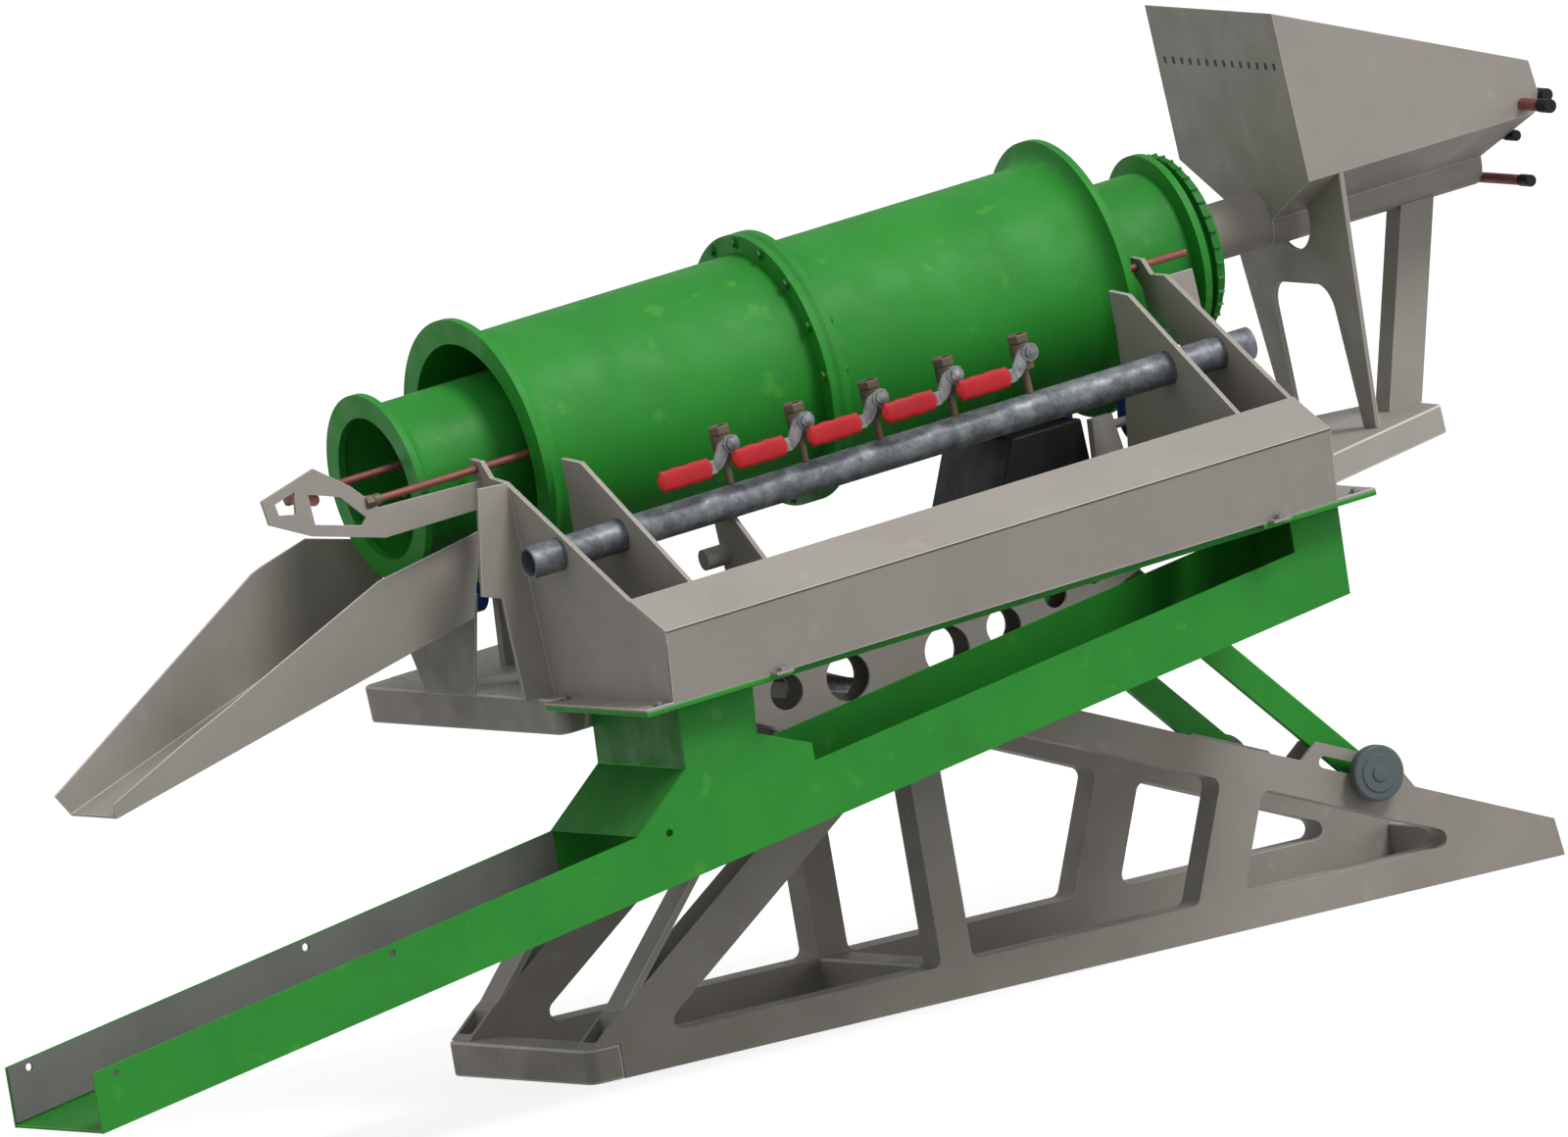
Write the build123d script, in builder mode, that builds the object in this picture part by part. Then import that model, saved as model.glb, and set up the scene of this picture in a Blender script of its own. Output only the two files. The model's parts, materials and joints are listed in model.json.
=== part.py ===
from build123d import *
import math
import os

os.makedirs("parts", exist_ok=True)

# Skid: two box-section side frames joined by cross beams, lengths in mm
skid_length = 1141
skid_half = 156
box_width = 39
box_wall = 5
beam_height = 36
beam_depth = 39
nose_height = 39
nose_setback = 5
apex_x = 435
apex_z = 341
foot_x = 38
foot_z = 62
foot_tip_x = 7
leg_width = 47
chord_width = 37
king_post = 36
strut_x = 718
strut_width = 53
strut_lean = 0.41
window_radius = 10
rear_beam_x = 1085
corner_radius = 14

# Slope adjuster: a link from each rail to a clamp knob in the chord
knob_x = 937
knob_radius = 29
knob_thickness = 14
knob_hub = 12
stud_radius = 5.7
slot_gap = 0.4
slot_start_x = 885
slot_end_x = 950
slot_rise = 4
ear_start_x = 862
ear_end_x = 985
ear_rise = 24
ear_slope_run = 20
link_thickness = 10
link_width = 30
link_top_x = 672
link_pin_radius = 7
prop_thickness = 8
prop_top_x = 295

# Chassis: a tilted frame that carries the drums, tray, sluice and hopper
tilt = 3.28
drum_x = 425
drum_z = 655.5
axis_height = 228.3
chassis_near = 206
chassis_far = 222
rail_width = 36
rail_wall = 4
rail_depth = 38
belly_depth = 120
belly_start, belly_end = -144, 36
belly_ramp_left, belly_ramp_right = 156, 244
front_beam_start, front_beam_end = -432, -396
rail_end = 432
tail_end = 702
tail_half = 60
tail_depth = 30
tail_member = 38
pivot_radius = 8
pivot_x = 435
pivot_z = 322
floor_thickness = 3
cross_beam_width = 46

# Tray: a folded near panel on four gussets
sheet = 3
gusset_thickness = 5
tray_y = 428
tray_crease_y = 446.6
tray_panel_height = 74
tray_lip_y = 383
tray_lip_height = 104
tray_end = 422
gusset_back = 165
wing_width, wing_head_width = 34, 56
wing_step_h = 110
end_wing_width = 26
gusset_1, gusset_2, gusset_3, gusset_4 = -410, -337, 314, 375
flange_overhang = 32
bar_gap = 0.3

# Sluice and riser: a long sloped trough under the tray
sluice_left_x = -685
sluice_left_z = 103
sluice_right_x = 826
sluice_slope = 0.1615
sluice_wall = 63
sluice_near = 400
sluice_far = 206
riser_front_x = 46
riser_foot_x = -24
riser_foot_rise = 57
riser_flange_thickness = 5
riser_gap_start, riser_gap_end = -272, 288
sluice_hole_radius = 4
sluice_hole_drop = 9
sluice_hole_places = (-659, -324, 12)

# Drums, on the tilted axis
inner_radius = 83
drum_wall = 3
inner_start, inner_end = -475, 485
inner_flange = 99
inner_mouth = 75
ridge_at = 456
ridge_radius = 100
sprocket_at = 474
sprocket_root = 93
sprocket_tip = 96
sprocket_teeth = 36
sprocket_thickness = 7
feed_hole = 36
outer_radius = 123.5
outer_start, outer_end = -355, 347
outer_flange = 146
middle_flange = 143
flange_lip = 8
flange_flare = 20
flare_depth = 0.2
spider_thickness = 6
spider_hub = 95
spoke_width = 24
spoke_count = 4
fit_gap = 0.3

# Rollers under the two end flanges of the outer drum
roller_radius = 24
roller_width = 19
roller_y = 91
axle_radius = 5
stand_base = 46
stand_top = 24
stand_thickness = 12
stand_offset = 41

# Wash water: a pipe along the near side with five lever valves
pipe_radius = 17
pipe_wall = 3
pipe_y = 250
pipe_h = 150.6
pipe_start, pipe_end = -449, 408
valve_count = 5
valve_first = -203.7
valve_pitch = 88.8
valve_stub = 4
valve_stem_rise = 44
valve_body_radius = 12
valve_outlet_rise = 18
lever_length = 97
lever_drop = 16
lever_crank = 13
lever_thickness = 3
lever_width = 12
sleeve_length = 64
sleeve_width = 22
sleeve_thickness = 8
lever_gap = 6
stay_place = -210
stay_lean = 50
stay_pin_radius = 11
stay_pin_length = 27
stay_pin_h = 95

# Spray bars
bar_radius = 4
outer_bar_y = 108.7
outer_bar_h = 236
outer_bar_start, outer_bar_end = -540, 430
outer_bar_gap = 60
inner_bar_y = 54
inner_bar_h = 254
inner_bar_start, inner_bar_end = -600, 400
bracket_y = 107
bracket_thickness = 5
bar_hook = 10
bar_hook_start, bar_hook_end = 121, 98

# Chute under the open end of the inner drum
chute_start, chute_end = -881.8, -413
chute_tip = -899.4
chute_head = 85
chute_mouth = 71
chute_far_bend = -563
chute_far_head, chute_far_mouth, chute_far_tip = 125, 28, 23
chute_toe = 27
chute_foot_h = -8
chute_toe_h = 85
chute_top_h = 164
chute_gusset_place = -432
chute_gusset_near, chute_gusset_far = 30, 78

# Hopper, feed pipe and their stand
hopper_start, hopper_back = 573.6, 851
hopper_half = 133
hopper_far = 146
hopper_far_hip_h = 286
hopper_rim_h = 450
hopper_back_h = 326
hopper_hip_h = 272
hopper_keel_radius = 31
hopper_keel_end = 822
hopper_back_rise = 20
feed_radius = 29.5
feed_start = 440
arch_place = 612
arch_shift = 12
arch_foot, arch_head = 98, 132
arch_opening_foot, arch_opening_head = 70, 64
arch_opening_h = 150
arch_notch = 42
post_foot, post_top = 663, 732
post_width = 39
post_half = 16

# Drive housing under the drum
housing_start, housing_end = 208, 290
housing_half = 75
housing_height = 98
housing_lean = 48

# The tilted frame of the chassis: along, across and up from its top face
lean = math.radians(tilt)
along = (math.cos(lean), 0, math.sin(lean))
up = (-math.sin(lean), 0, math.cos(lean))
deck_origin = (drum_x + axis_height * math.sin(lean), 0, drum_z - axis_height * math.cos(lean))
deck = Plane(origin=deck_origin, x_dir=along, z_dir=up)


def on_deck(a, y, h):
    return deck.from_local_coords((a, y, h))


def across(a, h=0):
    """Section plane across the chassis: X is the part's Y, Y is height."""
    return Plane(origin=on_deck(a, 0, h), x_dir=(0, 1, 0), z_dir=along)


def side(y, h=0):
    """Side plane of the chassis, seen from the near side; it extrudes towards the near side."""
    return Plane(origin=on_deck(0, y, h), x_dir=along, z_dir=(0, -1, 0))


def level(h):
    """Plan plane of the chassis at height h."""
    return Plane(origin=on_deck(0, 0, h), x_dir=along, z_dir=up)


def ground_side(y):
    """Upright side plane of the ground frame; it extrudes towards the near side."""
    return Plane(origin=(0, y, 0), x_dir=(1, 0, 0), z_dir=(0, -1, 0))


def ground_section(x):
    """Upright section plane of the ground frame: X is the part's Y."""
    return Plane(origin=(x, 0, 0), x_dir=(0, 1, 0), z_dir=(1, 0, 0))


def deck_z(x):
    """Height of the chassis top face over the ground at a given x."""
    return deck_origin[2] + (x - deck_origin[0]) * math.tan(lean)


drum_axis = Axis(origin=tuple(on_deck(0, 0, axis_height)), direction=along)
drum_profile = side(0, axis_height)


def save(piece, name):
    piece.part.label = name
    export_step(piece.part, f"parts/{name}.step")


# Skid side frames
leg_slope = (apex_z - foot_z) / (apex_x - foot_x)
nose_x = skid_length - nose_setback
chord_slope = (apex_z - nose_height) / (nose_x - apex_x)
leg_drop = leg_width * math.hypot(1, leg_slope)
chord_drop = chord_width * math.hypot(1, chord_slope)


def leg_top(x):
    return foot_z + (x - foot_x) * leg_slope


def chord_top(x):
    return apex_z - (x - apex_x) * chord_slope


def strut_meets_chord(foot):
    """Where a leaning strut edge that starts at foot on the beam meets the chord's lower edge."""
    base = apex_z - chord_drop - (foot - beam_height * strut_lean - apex_x) * chord_slope
    z = base / (1 + chord_slope * strut_lean)
    return (foot + (z - beam_height) * strut_lean, z)


post_left = apex_x - king_post / 2
post_right = apex_x + king_post / 2
strut_right = strut_x + strut_width
skid_outline = [
    (beam_depth, 0),
    (skid_length, 0),
    (nose_x, nose_height),
    (ear_end_x, chord_top(ear_end_x)),
    (ear_end_x - ear_slope_run, chord_top(ear_end_x - ear_slope_run) + ear_rise),
    (ear_start_x + ear_slope_run, chord_top(ear_start_x + ear_slope_run) + ear_rise),
    (ear_start_x, chord_top(ear_start_x)),
    (apex_x, apex_z),
    (foot_x, foot_z),
    (foot_tip_x, beam_height),
    (beam_depth, beam_height),
]
leg_foot_x = foot_x + (beam_height - foot_z + leg_drop) / leg_slope
chord_foot_x = apex_x + (apex_z - chord_drop - beam_height) / chord_slope
skid_windows = [
    [(leg_foot_x, beam_height), (post_left, beam_height), (post_left, leg_top(post_left) - leg_drop)],
    [
        (post_right, beam_height),
        (strut_x, beam_height),
        strut_meets_chord(strut_x),
        (post_right, chord_top(post_right) - chord_drop),
    ],
    [(strut_right, beam_height), (chord_foot_x, beam_height), strut_meets_chord(strut_right)],
]
link_pocket_start = ear_start_x - 14
link_pocket_end = ear_end_x - 6
link_pocket = [
    (link_pocket_start, chord_top(link_pocket_start) - 24),
    (link_pocket_end, chord_top(link_pocket_end) - 24),
    (link_pocket_end, chord_top(link_pocket_end) + 2 * ear_rise + 30),
    (link_pocket_start, chord_top(link_pocket_start) + 2 * ear_rise),
]
foot_pocket = [
    (2 * foot_tip_x, beam_height + sheet),
    (foot_x, beam_height + sheet),
    (foot_x, foot_z + sheet),
    (2 * foot_tip_x, foot_z + sheet),
]
slot_length = slot_end_x - slot_start_x
slot_angle = -math.degrees(math.atan(chord_slope))
slot_mid_x = (slot_start_x + slot_end_x) / 2
knob_z = chord_top(knob_x) + slot_rise


def skid_side(inner_y, name):
    """One side frame; inner_y is the face that lies nearer the far side."""
    with BuildPart() as frame:
        with BuildSketch(ground_side(inner_y)):
            Polygon(*skid_outline)
        extrude(amount=box_width)
        with BuildSketch(ground_side(inner_y)) as windows:
            for window in skid_windows:
                Polygon(*window)
            fillet(windows.vertices(), window_radius)
        extrude(amount=box_width, mode=Mode.SUBTRACT)
        with BuildSketch(ground_side(inner_y - box_wall)):
            Polygon(*link_pocket)
            Polygon(*foot_pocket)
        extrude(amount=box_width - 2 * box_wall, mode=Mode.SUBTRACT)
        with BuildSketch(ground_side(inner_y)):
            with Locations((slot_mid_x, chord_top(slot_mid_x) + slot_rise)):
                SlotCenterToCenter(slot_length, 2 * (stud_radius + slot_gap), rotation=slot_angle)
        extrude(amount=box_width, mode=Mode.SUBTRACT)
        with BuildSketch(ground_side(inner_y)):
            with Locations((pivot_x, pivot_z)):
                Circle(pivot_radius)
        extrude(amount=box_width, mode=Mode.SUBTRACT)
    save(frame, name)


skid_side(box_width - skid_half, "skid_side_near")
skid_side(skid_half, "skid_side_far")

with BuildPart() as skid_front_beam:
    with Locations((beam_depth / 2, 0, beam_height / 2)):
        Box(beam_depth, 2 * skid_half, beam_height)
    front_corners = skid_front_beam.edges().filter_by(Axis.Z).group_by(Axis.X)[0]
    fillet(front_corners, corner_radius)
save(skid_front_beam, "skid_front_beam")

skid_inside = skid_half - box_width
with BuildPart() as skid_cross_beams:
    for beam_x in (apex_x, rear_beam_x + king_post / 2):
        with Locations((beam_x, 0, beam_height / 2)):
            Box(king_post, 2 * skid_inside, beam_height)
save(skid_cross_beams, "skid_cross_beams")

with BuildPart() as pivot_shaft:
    with BuildSketch(ground_side(chassis_far - rail_wall)):
        with Locations((pivot_x, pivot_z)):
            Circle(pivot_radius)
    extrude(amount=chassis_far + chassis_near - 2 * rail_wall)
save(pivot_shaft, "pivot_shaft")

# Front props from the legs up to the rails
prop_foot = (foot_x + prop_thickness, leg_top(foot_x + prop_thickness))
prop_head = (prop_top_x, deck_z(prop_top_x) - 2 * rail_depth)
prop_angle = math.atan2(prop_head[1] - prop_foot[1], prop_head[0] - prop_foot[0])
prop_run = prop_thickness / (math.sin(prop_angle) - math.cos(prop_angle) * leg_slope)
prop_outline = [
    prop_foot,
    (prop_foot[0] + prop_run, leg_top(prop_foot[0] + prop_run)),
    (prop_head[0] + prop_thickness, prop_head[1]),
    (prop_head[0], prop_head[1]),
]
with BuildPart() as front_props:
    for inner_y in (box_width - skid_half, skid_half):
        with BuildSketch(ground_side(inner_y)):
            Polygon(*prop_outline)
        extrude(amount=box_width)
    with BuildSketch(ground_side(chassis_far - rail_width)):
        with Locations((prop_head[0] + prop_thickness / 2, prop_head[1] + prop_thickness)):
            Rectangle(2 * prop_thickness, 2 * prop_thickness)
    extrude(amount=chassis_far + chassis_near - 2 * rail_width)
save(front_props, "front_props")

# Slope links and their clamp knobs
link_foot = (knob_x, knob_z)
link_top = (link_top_x, deck_z(link_top_x) - rail_depth / 2)
link_length = math.hypot(link_top[0] - link_foot[0], link_top[1] - link_foot[1])
link_angle = math.degrees(math.atan2(link_top[1] - link_foot[1], link_top[0] - link_foot[0]))
link_mid = ((link_top[0] + link_foot[0]) / 2, (link_top[1] + link_foot[1]) / 2)
box_middle = skid_half - box_width / 2


def slope_link(middle_y, rail_face, name):
    with BuildPart() as link:
        with BuildSketch(ground_side(middle_y + link_thickness / 2)):
            with Locations(link_mid):
                SlotCenterToCenter(link_length, link_width, rotation=link_angle)
            with Locations(link_foot):
                Circle(stud_radius + slot_gap, mode=Mode.SUBTRACT)
        extrude(amount=link_thickness)
        with BuildSketch(ground_side(max(middle_y, rail_face))):
            with Locations(link_top):
                Circle(link_pin_radius)
        extrude(amount=abs(middle_y - rail_face))
    save(link, name)


slope_link(-box_middle, rail_width - chassis_near, "slope_link_near")
slope_link(box_middle, chassis_far - rail_width, "slope_link_far")


def slope_knob(outward, name):
    """Clamp knob outside a side frame; outward is -1 on the near side."""
    face = skid_half + fit_gap
    hub_end = face + knob_thickness / 2
    with BuildPart() as knob:
        with BuildSketch(ground_side(outward * (skid_inside - box_wall))):
            with Locations(link_foot):
                Circle(stud_radius)
        extrude(amount=-outward * (hub_end - skid_inside + box_wall))
        with BuildSketch(ground_side(outward * face)):
            with Locations(link_foot):
                Circle(knob_hub)
        extrude(amount=-outward * knob_thickness / 2)
        with BuildSketch(ground_side(outward * hub_end)):
            with Locations(link_foot):
                Circle(knob_radius)
        extrude(amount=-outward * knob_thickness)
        rims = knob.edges().filter_by(GeomType.CIRCLE).filter_by(lambda edge: edge.radius > knob_hub + 1)
        fillet(rims, sheet)
    save(knob, name)


slope_knob(-1, "slope_knob_near")
slope_knob(1, "slope_knob_far")

# Chassis rails with lightening holes: place along, depth and radius of each
rail_holes = [
    (-172, 62, 19),
    (-100, 66, 25),
    (17, 70, 26),
    (86, 63, 20),
    (151, 48, 13),
    (199, 42, 7),
    (235, 38, 7),
]
rail_outline = [
    (front_beam_end, 0),
    (front_beam_end, -rail_depth),
    (belly_start - belly_ramp_left, -rail_depth),
    (belly_start, -belly_depth),
    (belly_end, -belly_depth),
    (belly_end + belly_ramp_right, -rail_depth),
    (rail_end, -rail_depth),
    (rail_end, 0),
]


def chassis_rail(inner_y, name):
    with BuildPart() as rail:
        with BuildSketch(side(inner_y)):
            Polygon(*rail_outline)
        extrude(amount=rail_width)
        with BuildSketch(side(inner_y - rail_wall)):
            Polygon(*rail_outline)
            offset(amount=-rail_wall, mode=Mode.REPLACE)
        extrude(amount=rail_width - 2 * rail_wall, mode=Mode.SUBTRACT)
        with BuildSketch(side(inner_y)):
            for place, depth, radius in rail_holes:
                with Locations((place, -depth)):
                    Circle(radius)
        extrude(amount=rail_width, mode=Mode.SUBTRACT)
        with BuildSketch(ground_side(inner_y)):
            with Locations((pivot_x, pivot_z)):
                Circle(pivot_radius)
        extrude(amount=rail_width, mode=Mode.SUBTRACT)
    save(rail, name)


chassis_rail(rail_width - chassis_near, "chassis_rail_near")
chassis_rail(chassis_far, "chassis_rail_far")

with BuildPart() as chassis_front_beam:
    with BuildSketch(side(chassis_far)):
        with Locations(((front_beam_start + front_beam_end) / 2, -rail_depth / 2)):
            Rectangle(front_beam_end - front_beam_start, rail_depth)
    extrude(amount=chassis_far + chassis_near)
    beam_corners = chassis_front_beam.edges().filter_by(lambda edge: abs(edge.length - rail_depth) < 1)
    fillet(beam_corners.sort_by(Axis.X)[:2], corner_radius)
save(chassis_front_beam, "chassis_front_beam")

roller_left = outer_start + flange_lip / 2
roller_right = outer_end - flange_lip / 2
stand_left = roller_left + stand_offset
stand_right = roller_right - stand_offset
with BuildPart() as chassis_cross_beams:
    for place in (stand_left, stand_right):
        with BuildSketch(side(chassis_far - rail_width)):
            with Locations((place, -(rail_depth + floor_thickness) / 2)):
                Rectangle(cross_beam_width, rail_depth - floor_thickness)
        extrude(amount=chassis_far + chassis_near - 2 * rail_width)
save(chassis_cross_beams, "chassis_cross_beams")

with BuildPart() as tray_floor:
    with BuildSketch(level(-floor_thickness)):
        Polygon(
            (front_beam_end, rail_width - chassis_near),
            (rail_end, rail_width - chassis_near),
            (rail_end, chassis_far - rail_width),
            (front_beam_end, chassis_far - rail_width),
        )
    extrude(amount=floor_thickness)
save(tray_floor, "tray_floor")

tail_window_start = rail_end + tail_member
tail_window_end = tail_end - 1.3 * tail_member
tail_taper_near = (chassis_near - tail_half) / (tail_end - rail_end)
tail_taper_far = (chassis_far - tail_half) / (tail_end - rail_end)


def tail_near(a):
    return -(chassis_near - (a - rail_end) * tail_taper_near - tail_member)


def tail_far(a):
    return chassis_far - (a - rail_end) * tail_taper_far - tail_member


with BuildPart() as chassis_tail:
    with BuildSketch(level(-tail_depth)) as tail_plan:
        Polygon((rail_end, -chassis_near), (tail_end, -tail_half), (tail_end, tail_half), (rail_end, chassis_far))
        fillet(tail_plan.vertices().group_by(Axis.X)[-1], corner_radius)
    extrude(amount=tail_depth)
    with BuildSketch(level(-tail_depth)) as tail_window:
        Polygon(
            (tail_window_start, tail_near(tail_window_start)),
            (tail_window_end, tail_near(tail_window_end)),
            (tail_window_end, tail_far(tail_window_end)),
            (tail_window_start, tail_far(tail_window_start)),
        )
        fillet(tail_window.vertices(), window_radius)
    extrude(amount=tail_depth - sheet, mode=Mode.SUBTRACT)
save(chassis_tail, "chassis_tail")

# Tray gussets: each outline runs across the machine, as pairs of Y and height
wing_top = outer_bar_h - 13
bar_hook_outline = [
    (-bar_hook_start, outer_bar_h + bar_hook - 2),
    (-bar_hook_end, outer_bar_h + bar_hook),
    (-bar_hook_end, outer_bar_h - bar_hook + 2),
    (-outer_bar_y - 1.3, outer_bar_h - 2.2 * bar_hook),
    (-outer_bar_y - 3.3, outer_bar_h - 4.6 * bar_hook),
    (-gusset_back, outer_bar_h - 6.6 * bar_hook),
    (-gusset_back, 0),
]
gusset_outlines = {
    gusset_1: [(-gusset_back, wing_top), (-134, outer_bar_h - 9), *bar_hook_outline],
    gusset_2: [(-196, 226), (-155, 229), (-153, 190), (-140, 120), (-118, 60), (-112, 0)],
    gusset_3: [(-196, 226), (-155, 229), (-153, 190), (-140, 120), (-118, 60), (-112, 0)],
    gusset_4: [(-gusset_back, outer_bar_h - 7), (-134, outer_bar_h - 7), *bar_hook_outline],
}
tray_edge = [(-tray_y, 0), (-tray_crease_y, tray_panel_height), (-tray_lip_y, tray_lip_height)]
gusset_places = (gusset_1, gusset_2, gusset_3, gusset_4)
tray_start = gusset_1 - gusset_thickness / 2
panel_end = gusset_4 + gusset_thickness / 2

# Wings that stiffen the outer gussets: pairs of place along the chassis and height
gusset_wings = {
    gusset_1: [
        (tray_start, 0),
        (tray_start, wing_top),
        (tray_start - wing_width, wing_top + 3),
        (tray_start - wing_width - 6, wing_top - 25),
        (tray_start - wing_head_width, wing_step_h + 8),
        (tray_start - wing_width, wing_step_h),
        (tray_start - wing_width, 0),
    ],
    gusset_4: [
        (panel_end, 0),
        (panel_end + end_wing_width, 0),
        (panel_end + end_wing_width, outer_bar_h - 8),
        (panel_end, outer_bar_h - 8),
    ],
}


def tray_gusset(place, outline, name):
    with BuildPart() as gusset:
        with BuildSketch(across(place - gusset_thickness / 2)):
            Polygon(*tray_edge, *outline)
            with Locations((-pipe_y, pipe_h)):
                Circle(pipe_radius + bar_gap, mode=Mode.SUBTRACT)
            with Locations((-outer_bar_y, outer_bar_h)):
                Circle(bar_radius + bar_gap, mode=Mode.SUBTRACT)
        extrude(amount=gusset_thickness)
        if place in gusset_wings:
            with BuildSketch(side(-gusset_back)):
                Polygon(*gusset_wings[place])
            extrude(amount=gusset_thickness)
    save(gusset, name)


for number, place in enumerate(gusset_places, start=1):
    tray_gusset(place, gusset_outlines[place], f"tray_gusset_{number}")

# Tray near panel with its bottom flange
panel_section = [
    (-tray_y, 0),
    (-tray_crease_y, tray_panel_height),
    (-tray_lip_y, tray_lip_height),
    (-tray_lip_y, tray_lip_height + sheet),
    (-tray_crease_y - sheet, tray_panel_height + sheet / 2),
    (-tray_y - sheet, 0),
]
flange_start = tray_start - flange_overhang
flange_outline = [
    (flange_start, -tray_y - sheet),
    (tray_end, -tray_y - sheet),
    (tray_end, -chassis_near),
    (flange_start, -chassis_near),
]
flange_window = [
    (front_beam_end, -sluice_near),
    (gusset_4 - gusset_thickness, -sluice_near),
    (gusset_4 - gusset_thickness, -sluice_far - 2 * sheet),
    (front_beam_end, -sluice_far - 2 * sheet),
]
with BuildPart() as tray_panel:
    with BuildSketch(across(tray_start)):
        Polygon(*panel_section)
    extrude(amount=panel_end - tray_start)
    with BuildSketch(level(-sheet)):
        Polygon(*flange_outline)
        Polygon(*flange_window, mode=Mode.SUBTRACT)
    extrude(amount=sheet)
save(tray_panel, "tray_panel")

with BuildPart() as riser_flange:
    with BuildSketch(level(-sheet - riser_flange_thickness)):
        Polygon(*flange_outline)
        Polygon(*flange_window, mode=Mode.SUBTRACT)
        Polygon(
            (riser_gap_start, -sluice_near),
            (riser_gap_end, -sluice_near),
            (riser_gap_end, -tray_y - 2 * sheet),
            (riser_gap_start, -tray_y - 2 * sheet),
            mode=Mode.SUBTRACT,
        )
    extrude(amount=riser_flange_thickness)
save(riser_flange, "riser_flange")


# Sluice walls, floor and riser plates
def sluice_z(x):
    return sluice_left_z + (x - sluice_left_x) * sluice_slope


riser_drop = (sheet + riser_flange_thickness) / math.cos(lean)


def riser_top(x):
    return deck_z(x) - riser_drop


riser_back_x = sluice_right_x + sheet
riser_foot = (riser_foot_x, sluice_z(riser_foot_x) + sluice_wall)
riser_knee = (riser_front_x - sheet, riser_foot[1] + riser_foot_rise)
sluice_outline = [
    (sluice_left_x, sluice_left_z),
    (sluice_right_x, sluice_z(sluice_right_x)),
    (riser_back_x, riser_top(riser_back_x)),
    (riser_front_x, riser_top(riser_front_x)),
    riser_knee,
    riser_foot,
    (sluice_left_x, sluice_left_z + sluice_wall),
]
window_left_x, window_right_x = 134, 772
window_rim = 6
window_step_x = 190
sluice_window = [
    (window_left_x, riser_top(window_left_x) - window_rim),
    (window_left_x - 4, sluice_z(window_left_x) + 1.8 * sluice_wall),
    (window_step_x, sluice_z(window_step_x) + 1.3 * sluice_wall),
    (window_step_x, sluice_z(window_step_x) + sluice_wall),
    (window_right_x, sluice_z(window_right_x) + sluice_wall),
    (window_right_x, riser_top(window_right_x) - window_rim),
]


def sluice_side(inner_y, name):
    with BuildPart() as wall:
        with BuildSketch(ground_side(inner_y)):
            Polygon(*sluice_outline)
            Polygon(*sluice_window, mode=Mode.SUBTRACT)
            for x in sluice_hole_places:
                with Locations((x, sluice_z(x) + sluice_wall - sluice_hole_drop)):
                    Circle(sluice_hole_radius, mode=Mode.SUBTRACT)
        extrude(amount=sheet)
    save(wall, name)


sluice_side(sheet - sluice_near, "sluice_side_near")
sluice_side(-sluice_far, "sluice_side_far")

sluice_inside = sluice_near - sluice_far - 2 * sheet
with BuildPart() as sluice_floor:
    with BuildSketch(ground_side(-sluice_far - sheet)):
        Polygon(
            (sluice_left_x, sluice_left_z),
            (sluice_right_x, sluice_z(sluice_right_x)),
            (sluice_right_x, sluice_z(sluice_right_x) + sheet),
            (sluice_left_x, sluice_left_z + sheet),
        )
    extrude(amount=sluice_inside)
save(sluice_floor, "sluice_floor")

with BuildPart() as riser_ends:
    with BuildSketch(ground_side(-sluice_far - sheet)):
        Polygon(
            riser_foot,
            (riser_foot[0] + 2 * sheet, riser_foot[1]),
            (riser_front_x, riser_knee[1]),
            (riser_front_x + sheet, riser_top(riser_front_x)),
            (riser_front_x, riser_top(riser_front_x)),
            riser_knee,
        )
        Polygon(
            (sluice_right_x - sheet, sluice_z(sluice_right_x) + sheet),
            (sluice_right_x, sluice_z(sluice_right_x) + sheet),
            (riser_back_x, riser_top(sluice_right_x)),
            (riser_back_x - sheet, riser_top(sluice_right_x)),
        )
    extrude(amount=sluice_inside)
save(riser_ends, "riser_ends")


# Drums, turned about the tilted axis
def drum_end_profile(outer_face, lip_face, body_start, body_end, flange_radius, body_radius, hole):
    """Half section of a flanged tube: its end flange, the concave flare and the body's outside."""
    pull = flare_depth * (body_start - lip_face)
    flare_middle = ((lip_face + body_start) / 2 - pull, (flange_radius + body_radius) / 2 - abs(pull))
    Polyline((outer_face, hole), (outer_face, flange_radius), (lip_face, flange_radius))
    ThreePointArc((lip_face, flange_radius), flare_middle, (body_start, body_radius))
    Line((body_start, body_radius), (body_end, body_radius))


def outer_half(far_end, near_end, inward, name):
    """Half of the outer drum: a flared end flange, the body, and a plain bolting flange."""
    lip = far_end + inward * flange_lip
    body = lip + inward * flange_flare
    hole = outer_radius - drum_wall
    bolt_face = near_end - inward * flange_lip
    with BuildPart() as half:
        with BuildSketch(drum_profile):
            with BuildLine():
                drum_end_profile(far_end, lip, body, bolt_face, outer_flange, outer_radius, hole)
                Polyline(
                    (bolt_face, outer_radius),
                    (bolt_face, middle_flange),
                    (near_end, middle_flange),
                    (near_end, hole),
                    (far_end, hole),
                )
            make_face()
        revolve(axis=drum_axis)
    save(half, name)


middle_left = (outer_start + outer_end - spider_thickness) / 2
middle_right = middle_left + spider_thickness
outer_half(outer_start, middle_left, 1, "outer_drum_left")
outer_half(outer_end, middle_right, -1, "outer_drum_right")

with BuildPart() as drum_spider:
    with BuildSketch(across(middle_left, axis_height)):
        Circle(middle_flange)
        Circle(outer_radius - drum_wall, mode=Mode.SUBTRACT)
        with PolarLocations((spider_hub + outer_radius - drum_wall) / 2, spoke_count):
            Rectangle(outer_radius - spider_hub + 2 * drum_wall, spoke_width)
        Circle(spider_hub)
        Circle(inner_radius + fit_gap, mode=Mode.SUBTRACT)
    extrude(amount=spider_thickness)
save(drum_spider, "drum_spider")

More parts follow.
